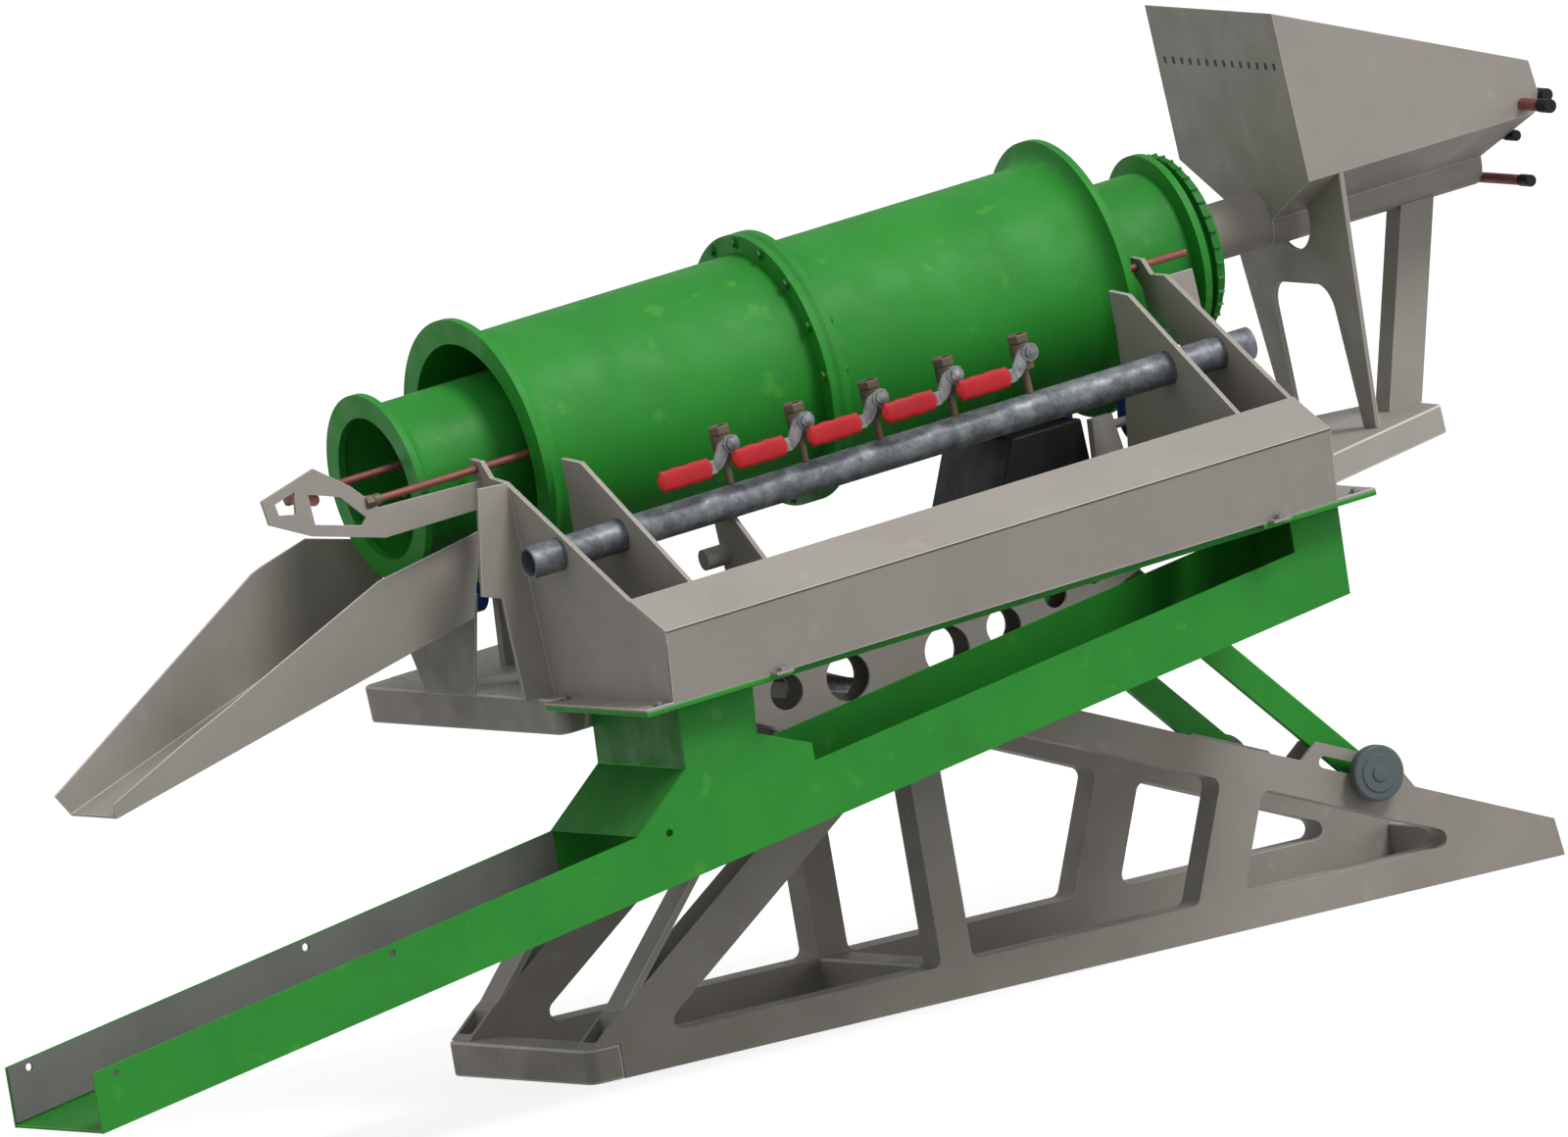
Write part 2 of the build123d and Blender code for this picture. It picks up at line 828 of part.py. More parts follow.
inner_bore = inner_radius - drum_wall
with BuildPart() as inner_drum:
    with BuildSketch(drum_profile):
        with BuildLine():
            inner_lip = inner_start + flange_lip
            inner_body = inner_lip + inner_flange - inner_radius
            drum_end_profile(
                inner_start, inner_lip, inner_body, ridge_at - flange_lip, inner_flange, inner_radius, inner_mouth
            )
            Polyline(
                (ridge_at - flange_lip, inner_radius),
                (ridge_at - flange_lip / 2, ridge_radius),
                (ridge_at + flange_lip / 2, ridge_radius),
                (ridge_at + flange_lip, inner_radius),
                (inner_end, inner_radius),
                (inner_end, feed_hole),
                (inner_end - drum_wall, feed_hole),
                (inner_end - drum_wall, inner_bore),
                (inner_lip, inner_bore),
                (inner_lip, inner_mouth),
                (inner_start, inner_mouth),
            )
        make_face()
    revolve(axis=drum_axis)
save(inner_drum, "inner_drum")

with BuildPart() as sprocket_ring:
    with BuildSketch(across(sprocket_at - sprocket_thickness / 2, axis_height)):
        Circle(sprocket_root)
        with PolarLocations(sprocket_root, sprocket_teeth):
            tooth = 2 * (sprocket_tip - sprocket_root)
            Trapezoid(tooth, tooth, 65, rotation=-90)
        Circle(inner_radius + fit_gap, mode=Mode.SUBTRACT)
    extrude(amount=sprocket_thickness)
save(sprocket_ring, "sprocket_ring")

# Rollers and the stands that carry them
roller_h = axis_height - math.sqrt((outer_flange + roller_radius + fit_gap) ** 2 - roller_y**2)


def roller(place, y, name):
    with BuildPart() as wheel:
        with BuildSketch(across(place - roller_width / 2)):
            with Locations((y, roller_h)):
                Circle(roller_radius)
                Circle(axle_radius + fit_gap, mode=Mode.SUBTRACT)
        extrude(amount=roller_width)
        rims = wheel.edges().filter_by(GeomType.CIRCLE).filter_by(lambda edge: edge.radius > roller_radius - 1)
        chamfer(rims, 1.5)
    save(wheel, name)


for place, end_name in ((roller_left, "left"), (roller_right, "right")):
    for y, side_name in ((-roller_y, "near"), (roller_y, "far")):
        roller(place, y, f"roller_{end_name}_{side_name}")

stand_height = roller_h + 2.4 * axle_radius
with BuildPart() as roller_stands:
    for place, reach in ((stand_left, roller_left), (stand_right, roller_right)):
        outward = math.copysign(1, reach - place)
        for y in (-roller_y, roller_y):
            with BuildSketch(side(y + stand_thickness / 2)):
                Polygon(
                    (place - stand_base / 2, 0),
                    (place + stand_base / 2, 0),
                    (place + stand_top / 2, stand_height),
                    (place - stand_top / 2, stand_height),
                )
            extrude(amount=stand_thickness)
            with BuildSketch(across(place)):
                with Locations((y, roller_h)):
                    Circle(axle_radius)
            axle_end = reach + outward * (roller_width / 2 + 1)
            extrude(amount=axle_end - place)
            with BuildSketch(across(axle_end)):
                with Locations((y, roller_h)):
                    Circle(1.6 * axle_radius)
            extrude(amount=outward * sheet)
save(roller_stands, "roller_stands")

# Wash-water pipe, its stay and the valves on it
with BuildPart() as manifold_pipe:
    with BuildSketch(across(pipe_start)):
        with Locations((-pipe_y, pipe_h)):
            Circle(pipe_radius)
            Circle(pipe_radius - pipe_wall, mode=Mode.SUBTRACT)
    extrude(amount=pipe_end - pipe_start)
save(manifold_pipe, "manifold_pipe")

stay_foot = (-tray_y + 2 * sheet, 0)
stay_top = pipe_h - pipe_radius - bar_gap
with BuildPart() as manifold_stay:
    with BuildSketch(across(stay_place)):
        Polygon(
            (-chassis_near, 0),
            (-chassis_near, stay_top - sheet),
            (-pipe_y, stay_top),
            (-pipe_y - stay_lean, stay_top - 0.9 * stay_lean),
            stay_foot,
        )
    extrude(amount=gusset_thickness)
    with BuildSketch(across(stay_place - stay_pin_length)):
        with Locations((-chassis_near - stay_pin_radius, stay_pin_h)):
            Circle(stay_pin_radius)
    extrude(amount=stay_pin_length)
save(manifold_stay, "manifold_stay")

valve_places = [valve_first + valve_pitch * index for index in range(valve_count)]
pipe_top = pipe_h + pipe_radius
stem_h = pipe_top + valve_stem_rise
lever_face = pipe_y + valve_body_radius + lever_gap
with BuildPart() as valve_bodies:
    for place in valve_places:
        with BuildSketch(level(pipe_top)):
            with Locations((place, -pipe_y)):
                Circle(valve_stub)
        extrude(amount=valve_stem_rise)
        with BuildSketch(level(stem_h - 1.6 * valve_body_radius)):
            with Locations((place, -pipe_y)):
                RegularPolygon(valve_body_radius, 6)
        extrude(amount=0.6 * valve_body_radius)
        with BuildSketch(level(stem_h - valve_body_radius)):
            with Locations((place, -pipe_y)):
                Circle(0.85 * valve_body_radius)
        extrude(amount=2 * valve_body_radius)
        with BuildSketch(level(stem_h + 0.8 * valve_body_radius)):
            with Locations((place, -pipe_y)):
                RegularPolygon(valve_body_radius, 6)
        extrude(amount=valve_outlet_rise - 0.8 * valve_body_radius)
        with BuildSketch(side(-pipe_y)):
            with Locations((place, stem_h)):
                Circle(valve_stub)
        extrude(amount=lever_face - fit_gap - pipe_y)
save(valve_bodies, "valve_bodies")


def valve_lever(place, name):
    grip_start = place - (lever_length - sleeve_length)
    grip_end = place - lever_length
    grip_h = stem_h - lever_drop
    grip_face = lever_face + lever_crank
    bend = lever_width
    with BuildPart() as lever:
        with BuildSketch(side(-lever_face)):
            with BuildLine():
                FilletPolyline(
                    (place, stem_h), (place - 0.6 * bend, stem_h), (place - 1.6 * bend, grip_h), radius=4
                )
            trace(line_width=lever_width)
            with Locations((place, stem_h)):
                Circle(0.7 * lever_width)
        extrude(amount=lever_thickness)
        with BuildSketch(level(grip_h - lever_width / 2)):
            Polygon(
                (place - bend, -lever_face),
                (place - 1.6 * bend, -lever_face),
                (place - 2.4 * bend, -grip_face),
                (grip_end + 2, -grip_face),
                (grip_end + 2, -grip_face - lever_thickness),
                (place - 2.5 * bend, -grip_face - lever_thickness),
                (place - 1.7 * bend, -lever_face - lever_thickness),
                (place - bend, -lever_face - lever_thickness),
            )
        extrude(amount=lever_width)
        with BuildSketch(side(-grip_face + (sleeve_thickness - lever_thickness) / 2)):
            with Locations(((grip_start + grip_end) / 2, grip_h)):
                SlotOverall(sleeve_length, sleeve_width)
        extrude(amount=sleeve_thickness)
    save(lever, name)


for number, place in enumerate(valve_places, start=1):
    valve_lever(place, f"valve_lever_{number}")

# Spray bars, the fitting blocks at their ends and the bracket
with BuildPart() as spray_bars_outer:
    for start, end in ((outer_bar_start, -outer_bar_gap), (outer_bar_gap, outer_bar_end)):
        with BuildSketch(across(start)):
            with Locations((-outer_bar_y, outer_bar_h)):
                Circle(bar_radius)
        extrude(amount=end - start)
save(spray_bars_outer, "spray_bars_outer")

bracket_points = [
    (-658, outer_bar_h + 7),
    (-661, outer_bar_h + 33),
    (-595, outer_bar_h + 50),
    (-558, outer_bar_h + 21),
    (-532, outer_bar_h - 8),
    (tray_start, outer_bar_h - 12),
    (tray_start, outer_bar_h - 40),
    (-532, outer_bar_h - 40),
    (-612, outer_bar_h - 17),
]
bracket_holes = [
    [(-645, 14), (-647, 26), (-622, 33), (-626, 10)],
    [(-607, -6), (-608, 26), (-573, 14), (-548, -14), (-554, -21)],
]
with BuildPart() as spray_bracket:
    with BuildSketch(side(-bracket_y)):
        Polygon(*bracket_points)
        for hole in bracket_holes:
            Polygon(*[(a, outer_bar_h + rise) for a, rise in hole], mode=Mode.SUBTRACT)
    extrude(amount=bracket_thickness)
    with BuildSketch(side(-bracket_y)) as bar_ring:
        with Locations((outer_bar_start - 2 * bar_radius, outer_bar_h)):
            Circle(2 * bar_radius)
    extrude(amount=bracket_thickness)
    with BuildSketch(side(-bracket_y)):
        with Locations((outer_bar_start, outer_bar_h)):
            Rectangle(2 * bracket_thickness, 3 * (bar_radius + bar_gap))
    extrude(amount=bracket_thickness, mode=Mode.SUBTRACT)
save(spray_bracket, "spray_bracket")

with BuildPart() as spray_bar_inner:
    with BuildSketch(across(inner_bar_start)):
        with Locations((-inner_bar_y, inner_bar_h)):
            Circle(bar_radius)
    extrude(amount=inner_bar_end - inner_bar_start)
    with BuildSketch(side(-inner_bar_y)):
        with Locations((inner_bar_start, inner_bar_h)):
            Circle(1.6 * bar_radius)
    extrude(amount=bracket_y - inner_bar_y)
save(spray_bar_inner, "spray_bar_inner")

# Chute: a folded trough, its far wall swung out to catch the stones
chute_base = [(chute_start, chute_foot_h), (chute_end - chute_toe, chute_toe_h)]
chute_near_outline = chute_base + [
    (chute_end, chute_top_h),
    (chute_end, 170),
    (-536, 150),
    (-737, 68),
    (-781, 51),
    (chute_start, 8),
]
toe_slope = (chute_top_h - chute_toe_h) / chute_toe
chute_far_outline = chute_base + [
    (chute_end - 14 / toe_slope, chute_top_h - 14),
    (-448, 164),
    (-505, 180),
    (-576, 162),
    (chute_tip, 18),
]
chute_slope = (chute_toe_h - chute_foot_h) / (chute_end - chute_toe - chute_start)
chute_floor_rise = sheet / math.cos(math.atan(chute_slope))
chute_hollow_outline = [
    (chute_tip - 1, chute_foot_h + chute_floor_rise + (chute_tip - 1 - chute_start) * chute_slope),
    (chute_end - chute_toe, chute_toe_h + chute_floor_rise),
    (chute_end + sheet, chute_top_h),
    (chute_end, 200),
    (chute_tip - 1, 200),
]


def chute_plan(inset, reach):
    """Outline of the chute from above, its side walls moved inwards by inset."""
    return [
        (chute_tip - reach, inset - chute_mouth),
        (chute_end + reach, inset - chute_head),
        (chute_end + reach, chute_far_head - inset),
        (chute_far_bend, chute_far_head - inset),
        (chute_start, chute_far_mouth - inset),
        (chute_tip - reach, chute_far_tip - inset),
    ]


with BuildPart() as chute_hollow:
    with BuildSketch(side(chute_far_head)):
        Polygon(*chute_hollow_outline)
    extrude(amount=chute_far_head + chute_head)
    with BuildSketch(level(-20)):
        Polygon(*chute_plan(sheet, 1))
    extrude(amount=240, mode=Mode.INTERSECT)
with BuildPart() as chute:
    with BuildSketch(side(0)):
        Polygon(*chute_near_outline)
    extrude(amount=chute_head)
    with BuildSketch(side(chute_far_head)):
        Polygon(*chute_far_outline)
    extrude(amount=chute_far_head)
    with BuildSketch(level(-20)):
        Polygon(*chute_plan(0, 0))
    extrude(amount=240, mode=Mode.INTERSECT)
    add(chute_hollow.part, mode=Mode.SUBTRACT)
    with BuildSketch(across(chute_end - chute_toe)):
        with Locations((0, axis_height)):
            Circle(inner_flange + fit_gap)
    extrude(amount=chute_toe, mode=Mode.SUBTRACT)
save(chute, "chute")

chute_gusset_top = chute_toe_h + (chute_gusset_place - chute_end + chute_toe) * toe_slope - fit_gap
with BuildPart() as chute_gusset:
    with BuildSketch(across(chute_gusset_place)):
        Polygon(
            (-chute_gusset_near, 0),
            (chute_gusset_far, 0),
            (chute_far_head - 2 * sheet, chute_gusset_top),
            (-chute_head + sheet, chute_gusset_top),
        )
    extrude(amount=sheet)
save(chute_gusset, "chute_gusset")

# Hopper: a bin whose sloped hips meet a rounded keel in line with the feed pipe
hopper_section = [
    (hopper_far, hopper_rim_h),
    (hopper_far, hopper_far_hip_h),
    (hopper_keel_radius, axis_height),
    (-hopper_keel_radius, axis_height),
    (-hopper_half, hopper_hip_h),
    (-hopper_half, hopper_rim_h),
]
hopper_keel_h = axis_height - hopper_keel_radius
hopper_profile = [
    (hopper_start, hopper_keel_h),
    (hopper_keel_end, hopper_keel_h),
    (hopper_keel_end, axis_height),
    (hopper_back - 3 * sheet, hopper_hip_h),
    (hopper_back, hopper_hip_h + hopper_back_rise),
    (hopper_back - sheet, hopper_back_h),
    (hopper_start, hopper_rim_h),
]
hopper_length = hopper_back - hopper_start
with BuildPart() as hopper_hollow:
    with BuildSketch(across(hopper_start)):
        Polygon(*hopper_section)
        with Locations((0, axis_height)):
            Circle(hopper_keel_radius)
        offset(amount=-sheet, mode=Mode.REPLACE)
        with Locations(((hopper_far - hopper_half) / 2, hopper_rim_h)):
            Rectangle(hopper_far + hopper_half - 2 * sheet, 4 * sheet)
    extrude(amount=hopper_length)
    with BuildSketch(side(hopper_far)):
        Polygon(*hopper_profile)
        offset(amount=-sheet, mode=Mode.REPLACE)
        Polygon(
            (hopper_start + sheet, hopper_rim_h - 4 * sheet),
            (hopper_back - 4 * sheet, hopper_back_h - 4 * sheet),
            (hopper_back - 4 * sheet, hopper_rim_h + 4 * sheet),
            (hopper_start + sheet, hopper_rim_h + 4 * sheet),
        )
    extrude(amount=hopper_far + hopper_half, mode=Mode.INTERSECT)
feed_bore = feed_radius - pipe_wall
with BuildPart() as hopper_bin:
    with BuildSketch(across(hopper_start)):
        Polygon(*hopper_section)
        with Locations((0, axis_height)):
            Circle(hopper_keel_radius)
    extrude(amount=hopper_length)
    with BuildSketch(side(hopper_far)):
        Polygon(*hopper_profile)
    extrude(amount=hopper_far + hopper_half, mode=Mode.INTERSECT)
    add(hopper_hollow.part, mode=Mode.SUBTRACT)
    with BuildSketch(across(hopper_start)):
        with Locations((0, axis_height)):
            Circle(feed_bore)
    extrude(amount=2 * sheet, mode=Mode.SUBTRACT)
save(hopper_bin, "hopper_bin")

with BuildPart() as feed_pipe:
    with BuildSketch(across(feed_start)):
        with Locations((0, axis_height)):
            Circle(feed_radius)
            Circle(feed_bore, mode=Mode.SUBTRACT)
    extrude(amount=hopper_start - feed_start)
save(feed_pipe, "feed_pipe")

with BuildPart() as hopper_arch:
    with BuildSketch(across(arch_place - gusset_thickness / 2)):
        Polygon(
            (arch_shift - arch_foot, 0),
            (arch_shift + arch_foot, 0),
            (arch_shift + arch_head, hopper_hip_h - fit_gap),
            (-arch_head, hopper_hip_h - fit_gap),
        )
        with BuildSketch(mode=Mode.SUBTRACT) as arch_opening:
            Polygon(
                (arch_shift - arch_opening_foot, -sheet),
                (arch_shift + arch_opening_foot, -sheet),
                (arch_shift + arch_opening_head, arch_opening_h),
                (arch_shift - arch_opening_head, arch_opening_h),
            )
            fillet(arch_opening.vertices().group_by(Axis.Y)[-1], 2 * corner_radius)
        Polygon(*hopper_section, mode=Mode.SUBTRACT)
        with Locations((0, axis_height)):
            Circle(arch_notch, mode=Mode.SUBTRACT)
    extrude(amount=gusset_thickness)
save(hopper_arch, "hopper_arch")

post_top_h = axis_height - hopper_keel_radius / 2
with BuildPart() as hopper_post:
    with BuildSketch(side(post_half)):
        Polygon(
            (post_foot, 0),
            (post_foot + post_width, 0),
            (post_top + post_width, post_top_h),
            (post_top, post_top_h),
        )
    extrude(amount=2 * post_half)
    with BuildSketch(side(post_half - sheet)):
        Polygon(
            (post_foot + sheet, -sheet),
            (post_foot + post_width + sheet, -sheet),
            (post_top + post_width + sheet, post_top_h + sheet),
            (post_top + sheet, post_top_h + sheet),
        )
    extrude(amount=2 * post_half - 2 * sheet, mode=Mode.SUBTRACT)
    with BuildSketch(across(post_foot)):
        with Locations((0, axis_height)):
            Circle(hopper_keel_radius + fit_gap)
    extrude(amount=2 * (post_top - post_foot), mode=Mode.SUBTRACT)
save(hopper_post, "hopper_post")

# Water pipes across the back of the hopper: lower and upper point of the wall they lie on,
# share of the way up it, radius, far end and near end
hopper_pipe_rows = [
    (hopper_profile[3], hopper_profile[4], 0.9, 6, 110, -141),
    (hopper_profile[2], hopper_profile[3], 0.5, 5, 84, -90),
    (hopper_profile[1], hopper_profile[2], 0.2, 5.5, 40, -118),
]
with BuildPart() as hopper_pipes:
    for low, high, share, radius, far_end, near_end in hopper_pipe_rows:
        run = math.dist(low, high)
        stand_off = radius + fit_gap
        pipe_place = low[0] + share * (high[0] - low[0]) + stand_off * (high[1] - low[1]) / run
        pipe_rise = low[1] + share * (high[1] - low[1]) - stand_off * (high[0] - low[0]) / run
        with BuildSketch(side(far_end)):
            with Locations((pipe_place, pipe_rise)):
                Circle(radius)
        extrude(amount=far_end - near_end)
    with BuildSketch(side(-hopper_half - fit_gap)):
        with Locations((hopper_keel_end + 3 * sheet, hopper_hip_h + 4 * sheet)):
            Circle(6.5)
    extrude(amount=59)
save(hopper_pipes, "hopper_pipes")

with BuildPart() as drive_housing:
    with BuildSketch(side(housing_half)):
        Polygon(
            (housing_start - housing_lean, 0),
            (housing_end, 0),
            (housing_end, housing_height),
            (housing_start, housing_height),
        )
    extrude(amount=2 * housing_half)
save(drive_housing, "drive_housing")
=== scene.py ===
import json
import math
import bpy
import bmesh
from mathutils import Matrix, Vector


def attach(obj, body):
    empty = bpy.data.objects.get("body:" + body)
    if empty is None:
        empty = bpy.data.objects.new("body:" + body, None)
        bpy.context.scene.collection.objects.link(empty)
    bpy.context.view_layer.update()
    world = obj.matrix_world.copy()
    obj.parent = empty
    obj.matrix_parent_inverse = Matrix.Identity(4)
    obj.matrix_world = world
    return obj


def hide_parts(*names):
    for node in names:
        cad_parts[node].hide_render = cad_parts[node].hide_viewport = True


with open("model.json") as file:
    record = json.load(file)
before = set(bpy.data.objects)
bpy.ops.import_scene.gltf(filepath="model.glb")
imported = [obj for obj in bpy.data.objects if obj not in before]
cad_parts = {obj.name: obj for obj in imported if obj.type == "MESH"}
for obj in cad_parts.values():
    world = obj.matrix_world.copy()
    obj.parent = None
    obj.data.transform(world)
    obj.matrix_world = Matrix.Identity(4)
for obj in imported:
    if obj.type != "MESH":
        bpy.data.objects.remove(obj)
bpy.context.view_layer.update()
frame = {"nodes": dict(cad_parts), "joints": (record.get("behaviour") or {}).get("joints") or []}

nodes = frame["nodes"]
print("frame loaded,", len(nodes), "nodes")

# the tilted machine frame: along the drum, across the machine, up from the chassis top
mm = 0.001
axisHeight = 228.3  # drum axis over the chassis top
drumJoint = next(j for j in frame["joints"] if j["name"] == "drum_spin")
alongDir = Vector(drumJoint["axis"]).normalized()
acrossDir = Vector((0, 1, 0))
upDir = alongDir.cross(acrossDir).normalized()
deckOrigin = Vector(drumJoint["pos_m"]) - upDir * axisHeight * mm


def onDeck(a, y, h):
    return deckOrigin + alongDir * a * mm + acrossDir * y * mm + upDir * h * mm


def placeMatrix(origin, xDir, yDir, zDir):
    turn = Matrix((xDir, yDir, zDir)).transposed().to_4x4()
    return Matrix.Translation(origin) @ turn


def acrossMatrix(a, y, h):  # local Z runs along the drum
    return placeMatrix(onDeck(a, y, h), acrossDir, upDir, alongDir)


def sideMatrix(a, y, h):  # local Z points to the near side
    return placeMatrix(onDeck(a, y, h), alongDir, upDir, -acrossDir)


def levelMatrix(a, y, h):  # local Z points up from the chassis
    return placeMatrix(onDeck(a, y, h), alongDir, acrossDir, upDir)


def tone(red, green, blue):  # a colour as it looks on screen, 0 to 255
    def toLinear(value):
        value = value / 255
        return value / 12.92 if value < 0.04045 else ((value + 0.055) / 1.055) ** 2.4
    return (toLinear(red), toLinear(green), toLinear(blue), 1)


# camera: parallel view, a little tilted, as in the photograph
cameraLook = {
    "target": Vector((0.3952, 0, 0.4512)),
    "right": Vector((0.8694, -0.4644, -0.1689)),
    "up": Vector((0.2071, 0.0321, 0.9778)),
    "width": 1.6,
    "distance": 4,
}


def makeCamera(look):
    back = look["right"].cross(look["up"]).normalized()
    data = bpy.data.cameras.new("photoCamera")
    data.type = "ORTHO"
    data.ortho_scale = look["width"]
    data.clip_end = 20
    camera = bpy.data.objects.new("photoCamera", data)
    place = look["target"] + back * look["distance"]
    camera.matrix_world = placeMatrix(place, look["right"].normalized(), look["up"].normalized(), back)
    bpy.context.scene.collection.objects.link(camera)
    bpy.context.scene.camera = camera


makeCamera(cameraLook)
print("camera placed")


# shader groups
def addNode(tree, kind, **values):
    node = tree.nodes.new(kind)
    for name, value in values.items():
        setattr(node, name, value)
    return node


def noiseNode(tree, source, scale, detail=3, roughness=0.55):
    noise = addNode(tree, "ShaderNodeTexNoise")
    noise.inputs["Scale"].default_value = scale
    noise.inputs["Detail"].default_value = detail
    noise.inputs["Roughness"].default_value = roughness
    tree.links.new(source, noise.inputs["Vector"])
    return noise.outputs["Fac"]


def rangeNode(tree, source, low, high, toLow=0, toHigh=1):
    mapRange = addNode(tree, "ShaderNodeMapRange")
    mapRange.inputs["From Min"].default_value = low
    mapRange.inputs["From Max"].default_value = high
    mapRange.inputs["To Min"].default_value = toLow
    mapRange.inputs["To Max"].default_value = toHigh
    tree.links.new(source, mapRange.inputs["Value"])
    return mapRange.outputs["Result"]


def mixColour(tree, mask, first, second):
    mix = addNode(tree, "ShaderNodeMix", data_type="RGBA")
    tree.links.new(mask, mix.inputs["Factor"])
    tree.links.new(first, mix.inputs["A"])
    tree.links.new(second, mix.inputs["B"])
    return mix.outputs["Result"]


def multiply(tree, first, second):
    node = addNode(tree, "ShaderNodeMath", operation="MULTIPLY")
    tree.links.new(first, node.inputs[0])
    tree.links.new(second, node.inputs[1])
    return node.outputs[0]


def newGroup(name, inputs, outputs):
    tree = bpy.data.node_groups.new(name, "ShaderNodeTree")
    for label, kind, value in inputs:
        socket = tree.interface.new_socket(name=label, in_out="INPUT", socket_type=kind)
        socket.default_value = value
    for label, kind in outputs:
        tree.interface.new_socket(name=label, in_out="OUTPUT", socket_type=kind)
    start = addNode(tree, "NodeGroupInput")
    end = addNode(tree, "NodeGroupOutput")
    return tree, start, end


def makePaintFilm():  # sprayed paint: soft patches, small flecks, faint orange peel
    grey = (0.5, 0.5, 0.5, 1)
    tree, start, end = newGroup(
        "paintFilm",
        [
            ("Paint", "NodeSocketColor", grey),
            ("Patch", "NodeSocketColor", grey),
            ("Fleck", "NodeSocketColor", grey),
            ("Patch Amount", "NodeSocketFloat", 0.5),
            ("Fleck Amount", "NodeSocketFloat", 0.5),
        ],
        [("Colour", "NodeSocketColor"), ("Roughness", "NodeSocketFloat"), ("Height", "NodeSocketFloat")],
    )
    place = addNode(tree, "ShaderNodeTexCoord").outputs["Object"]
    patches = rangeNode(tree, noiseNode(tree, place, 9, 4, 0.6), 0.42, 0.68)
    flecks = rangeNode(tree, noiseNode(tree, place, 38, 2, 0.4), 0.66, 0.74)
    patchMask = multiply(tree, patches, start.outputs["Patch Amount"])
    patched = mixColour(tree, patchMask, start.outputs["Paint"], start.outputs["Patch"])
    flecked = mixColour(
        tree, multiply(tree, flecks, start.outputs["Fleck Amount"]), patched, start.outputs["Fleck"]
    )
    tree.links.new(flecked, end.inputs["Colour"])
    sheen = rangeNode(tree, noiseNode(tree, place, 22, 3), 0.3, 0.7, 0.48, 0.68)
    tree.links.new(sheen, end.inputs["Roughness"])
    tree.links.new(noiseNode(tree, place, 420, 2), end.inputs["Height"])
    return tree


def makeZincSpangle():  # hot-dip zinc: crystal patches with dull grey bloom
    grey = (0.3, 0.3, 0.3, 1)
    tree, start, end = newGroup(
        "zincSpangle",
        [("Dark", "NodeSocketColor", grey), ("Light", "NodeSocketColor", grey)],
        [("Colour", "NodeSocketColor"), ("Roughness", "NodeSocketFloat"), ("Height", "NodeSocketFloat")],
    )
    place = addNode(tree, "ShaderNodeTexCoord").outputs["Object"]
    crystals = addNode(tree, "ShaderNodeTexVoronoi")
    crystals.inputs["Scale"].default_value = 90
    tree.links.new(place, crystals.inputs["Vector"])
    bloom = noiseNode(tree, place, 55, 5, 0.7)
    tint = addNode(tree, "ShaderNodeSeparateColor")
    tree.links.new(crystals.outputs["Color"], tint.inputs["Color"])
    clouds = rangeNode(tree, bloom, 0.35, 0.62)
    blend = multiply(tree, clouds, rangeNode(tree, tint.outputs["Red"], 0, 1, 0.45, 1))
    spangled = mixColour(tree, blend, start.outputs["Dark"], start.outputs["Light"])
    tree.links.new(spangled, end.inputs["Colour"])
    tree.links.new(rangeNode(tree, bloom, 0.3, 0.7, 0.62, 0.4), end.inputs["Roughness"])
    tree.links.new(bloom, end.inputs["Height"])
    return tree


paintFilm = makePaintFilm()
zincSpangle = makeZincSpangle()


def newMaterial(name, group, colours, look):
    material = bpy.data.materials.new(name)
    material.use_nodes = True
    tree = material.node_tree
    tree.nodes.clear()
    shader = addNode(tree, "ShaderNodeBsdfPrincipled")
    shader.inputs["Metallic"].default_value = look.get("metallic", 0)
    shader.inputs["Specular IOR Level"].default_value = look.get("specular", 0.3)
    film = addNode(tree, "ShaderNodeGroup", node_tree=group)
    for label, value in colours.items():
        film.inputs[label].default_value = value
    tree.links.new(film.outputs["Colour"], shader.inputs["Base Color"])
    tree.links.new(film.outputs["Roughness"], shader.inputs["Roughness"])
    bump = addNode(tree, "ShaderNodeBump")
    bump.inputs["Strength"].default_value = look.get("bump", 0.15)
    bump.inputs["Distance"].default_value = look.get("depth", 0.0006)
    tree.links.new(film.outputs["Height"], bump.inputs["Height"])
    tree.links.new(bump.outputs["Normal"], shader.inputs["Normal"])
    end = addNode(tree, "ShaderNodeOutputMaterial")
    tree.links.new(shader.outputs[0], end.inputs["Surface"])
    return material


def paintMaterial(name, paint, patch, fleck, patchAmount=0.5, fleckAmount=0.3, **look):
    colours = {
        "Paint": tone(*paint),
        "Patch": tone(*patch),
        "Fleck": tone(*fleck),
        "Patch Amount": patchAmount,
        "Fleck Amount": fleckAmount,
    }
    return newMaterial(name, paintFilm, colours, look)


greenPaint = paintMaterial("greenPaint", (34, 134, 38), (26, 112, 34), (70, 150, 46), 0.5, 0.5, bump=0.1)
darkGreenPaint = paintMaterial("darkGreenPaint", (32, 118, 36), (24, 96, 28), (70, 140, 48), 0.5, 0.5)
greyPaint = paintMaterial("greyPaint", (152, 147, 140), (142, 136, 130), (162, 156, 148), 0.5, 0.4)
skidPaint = paintMaterial("skidPaint", (146, 140, 133), (132, 125, 118), (160, 153, 144), 0.6, 0.4)
# lighter copies of the green and grey paints for bevelled edges: painted highlight
greenEdgeHighlight = paintMaterial("greenEdgeHighlight", (60, 165, 55), (40, 140, 44), (120, 190, 80), 0.4, 0.4)
greyEdgeHighlight = paintMaterial("greyEdgeHighlight", (196, 192, 184), (170, 165, 158), (215, 212, 205), 0.4, 0.4)
# dark grey of the sluice liner: partly painted shade of the far wall's inner face
linerShadeGrey = paintMaterial("linerShadeGrey", (112, 110, 108), (96, 94, 92), (126, 124, 120), 0.6, 0.3)
# dark grey for the strip along the tray panel's fold: painted shade
creaseShadeGrey = paintMaterial("creaseShadeGrey", (92, 88, 84), (80, 76, 72), (104, 100, 96), 0.4, 0.2)
blackPaint = paintMaterial("blackPaint", (26, 26, 27), (18, 18, 19), (44, 44, 44), 0.5, 0.3)
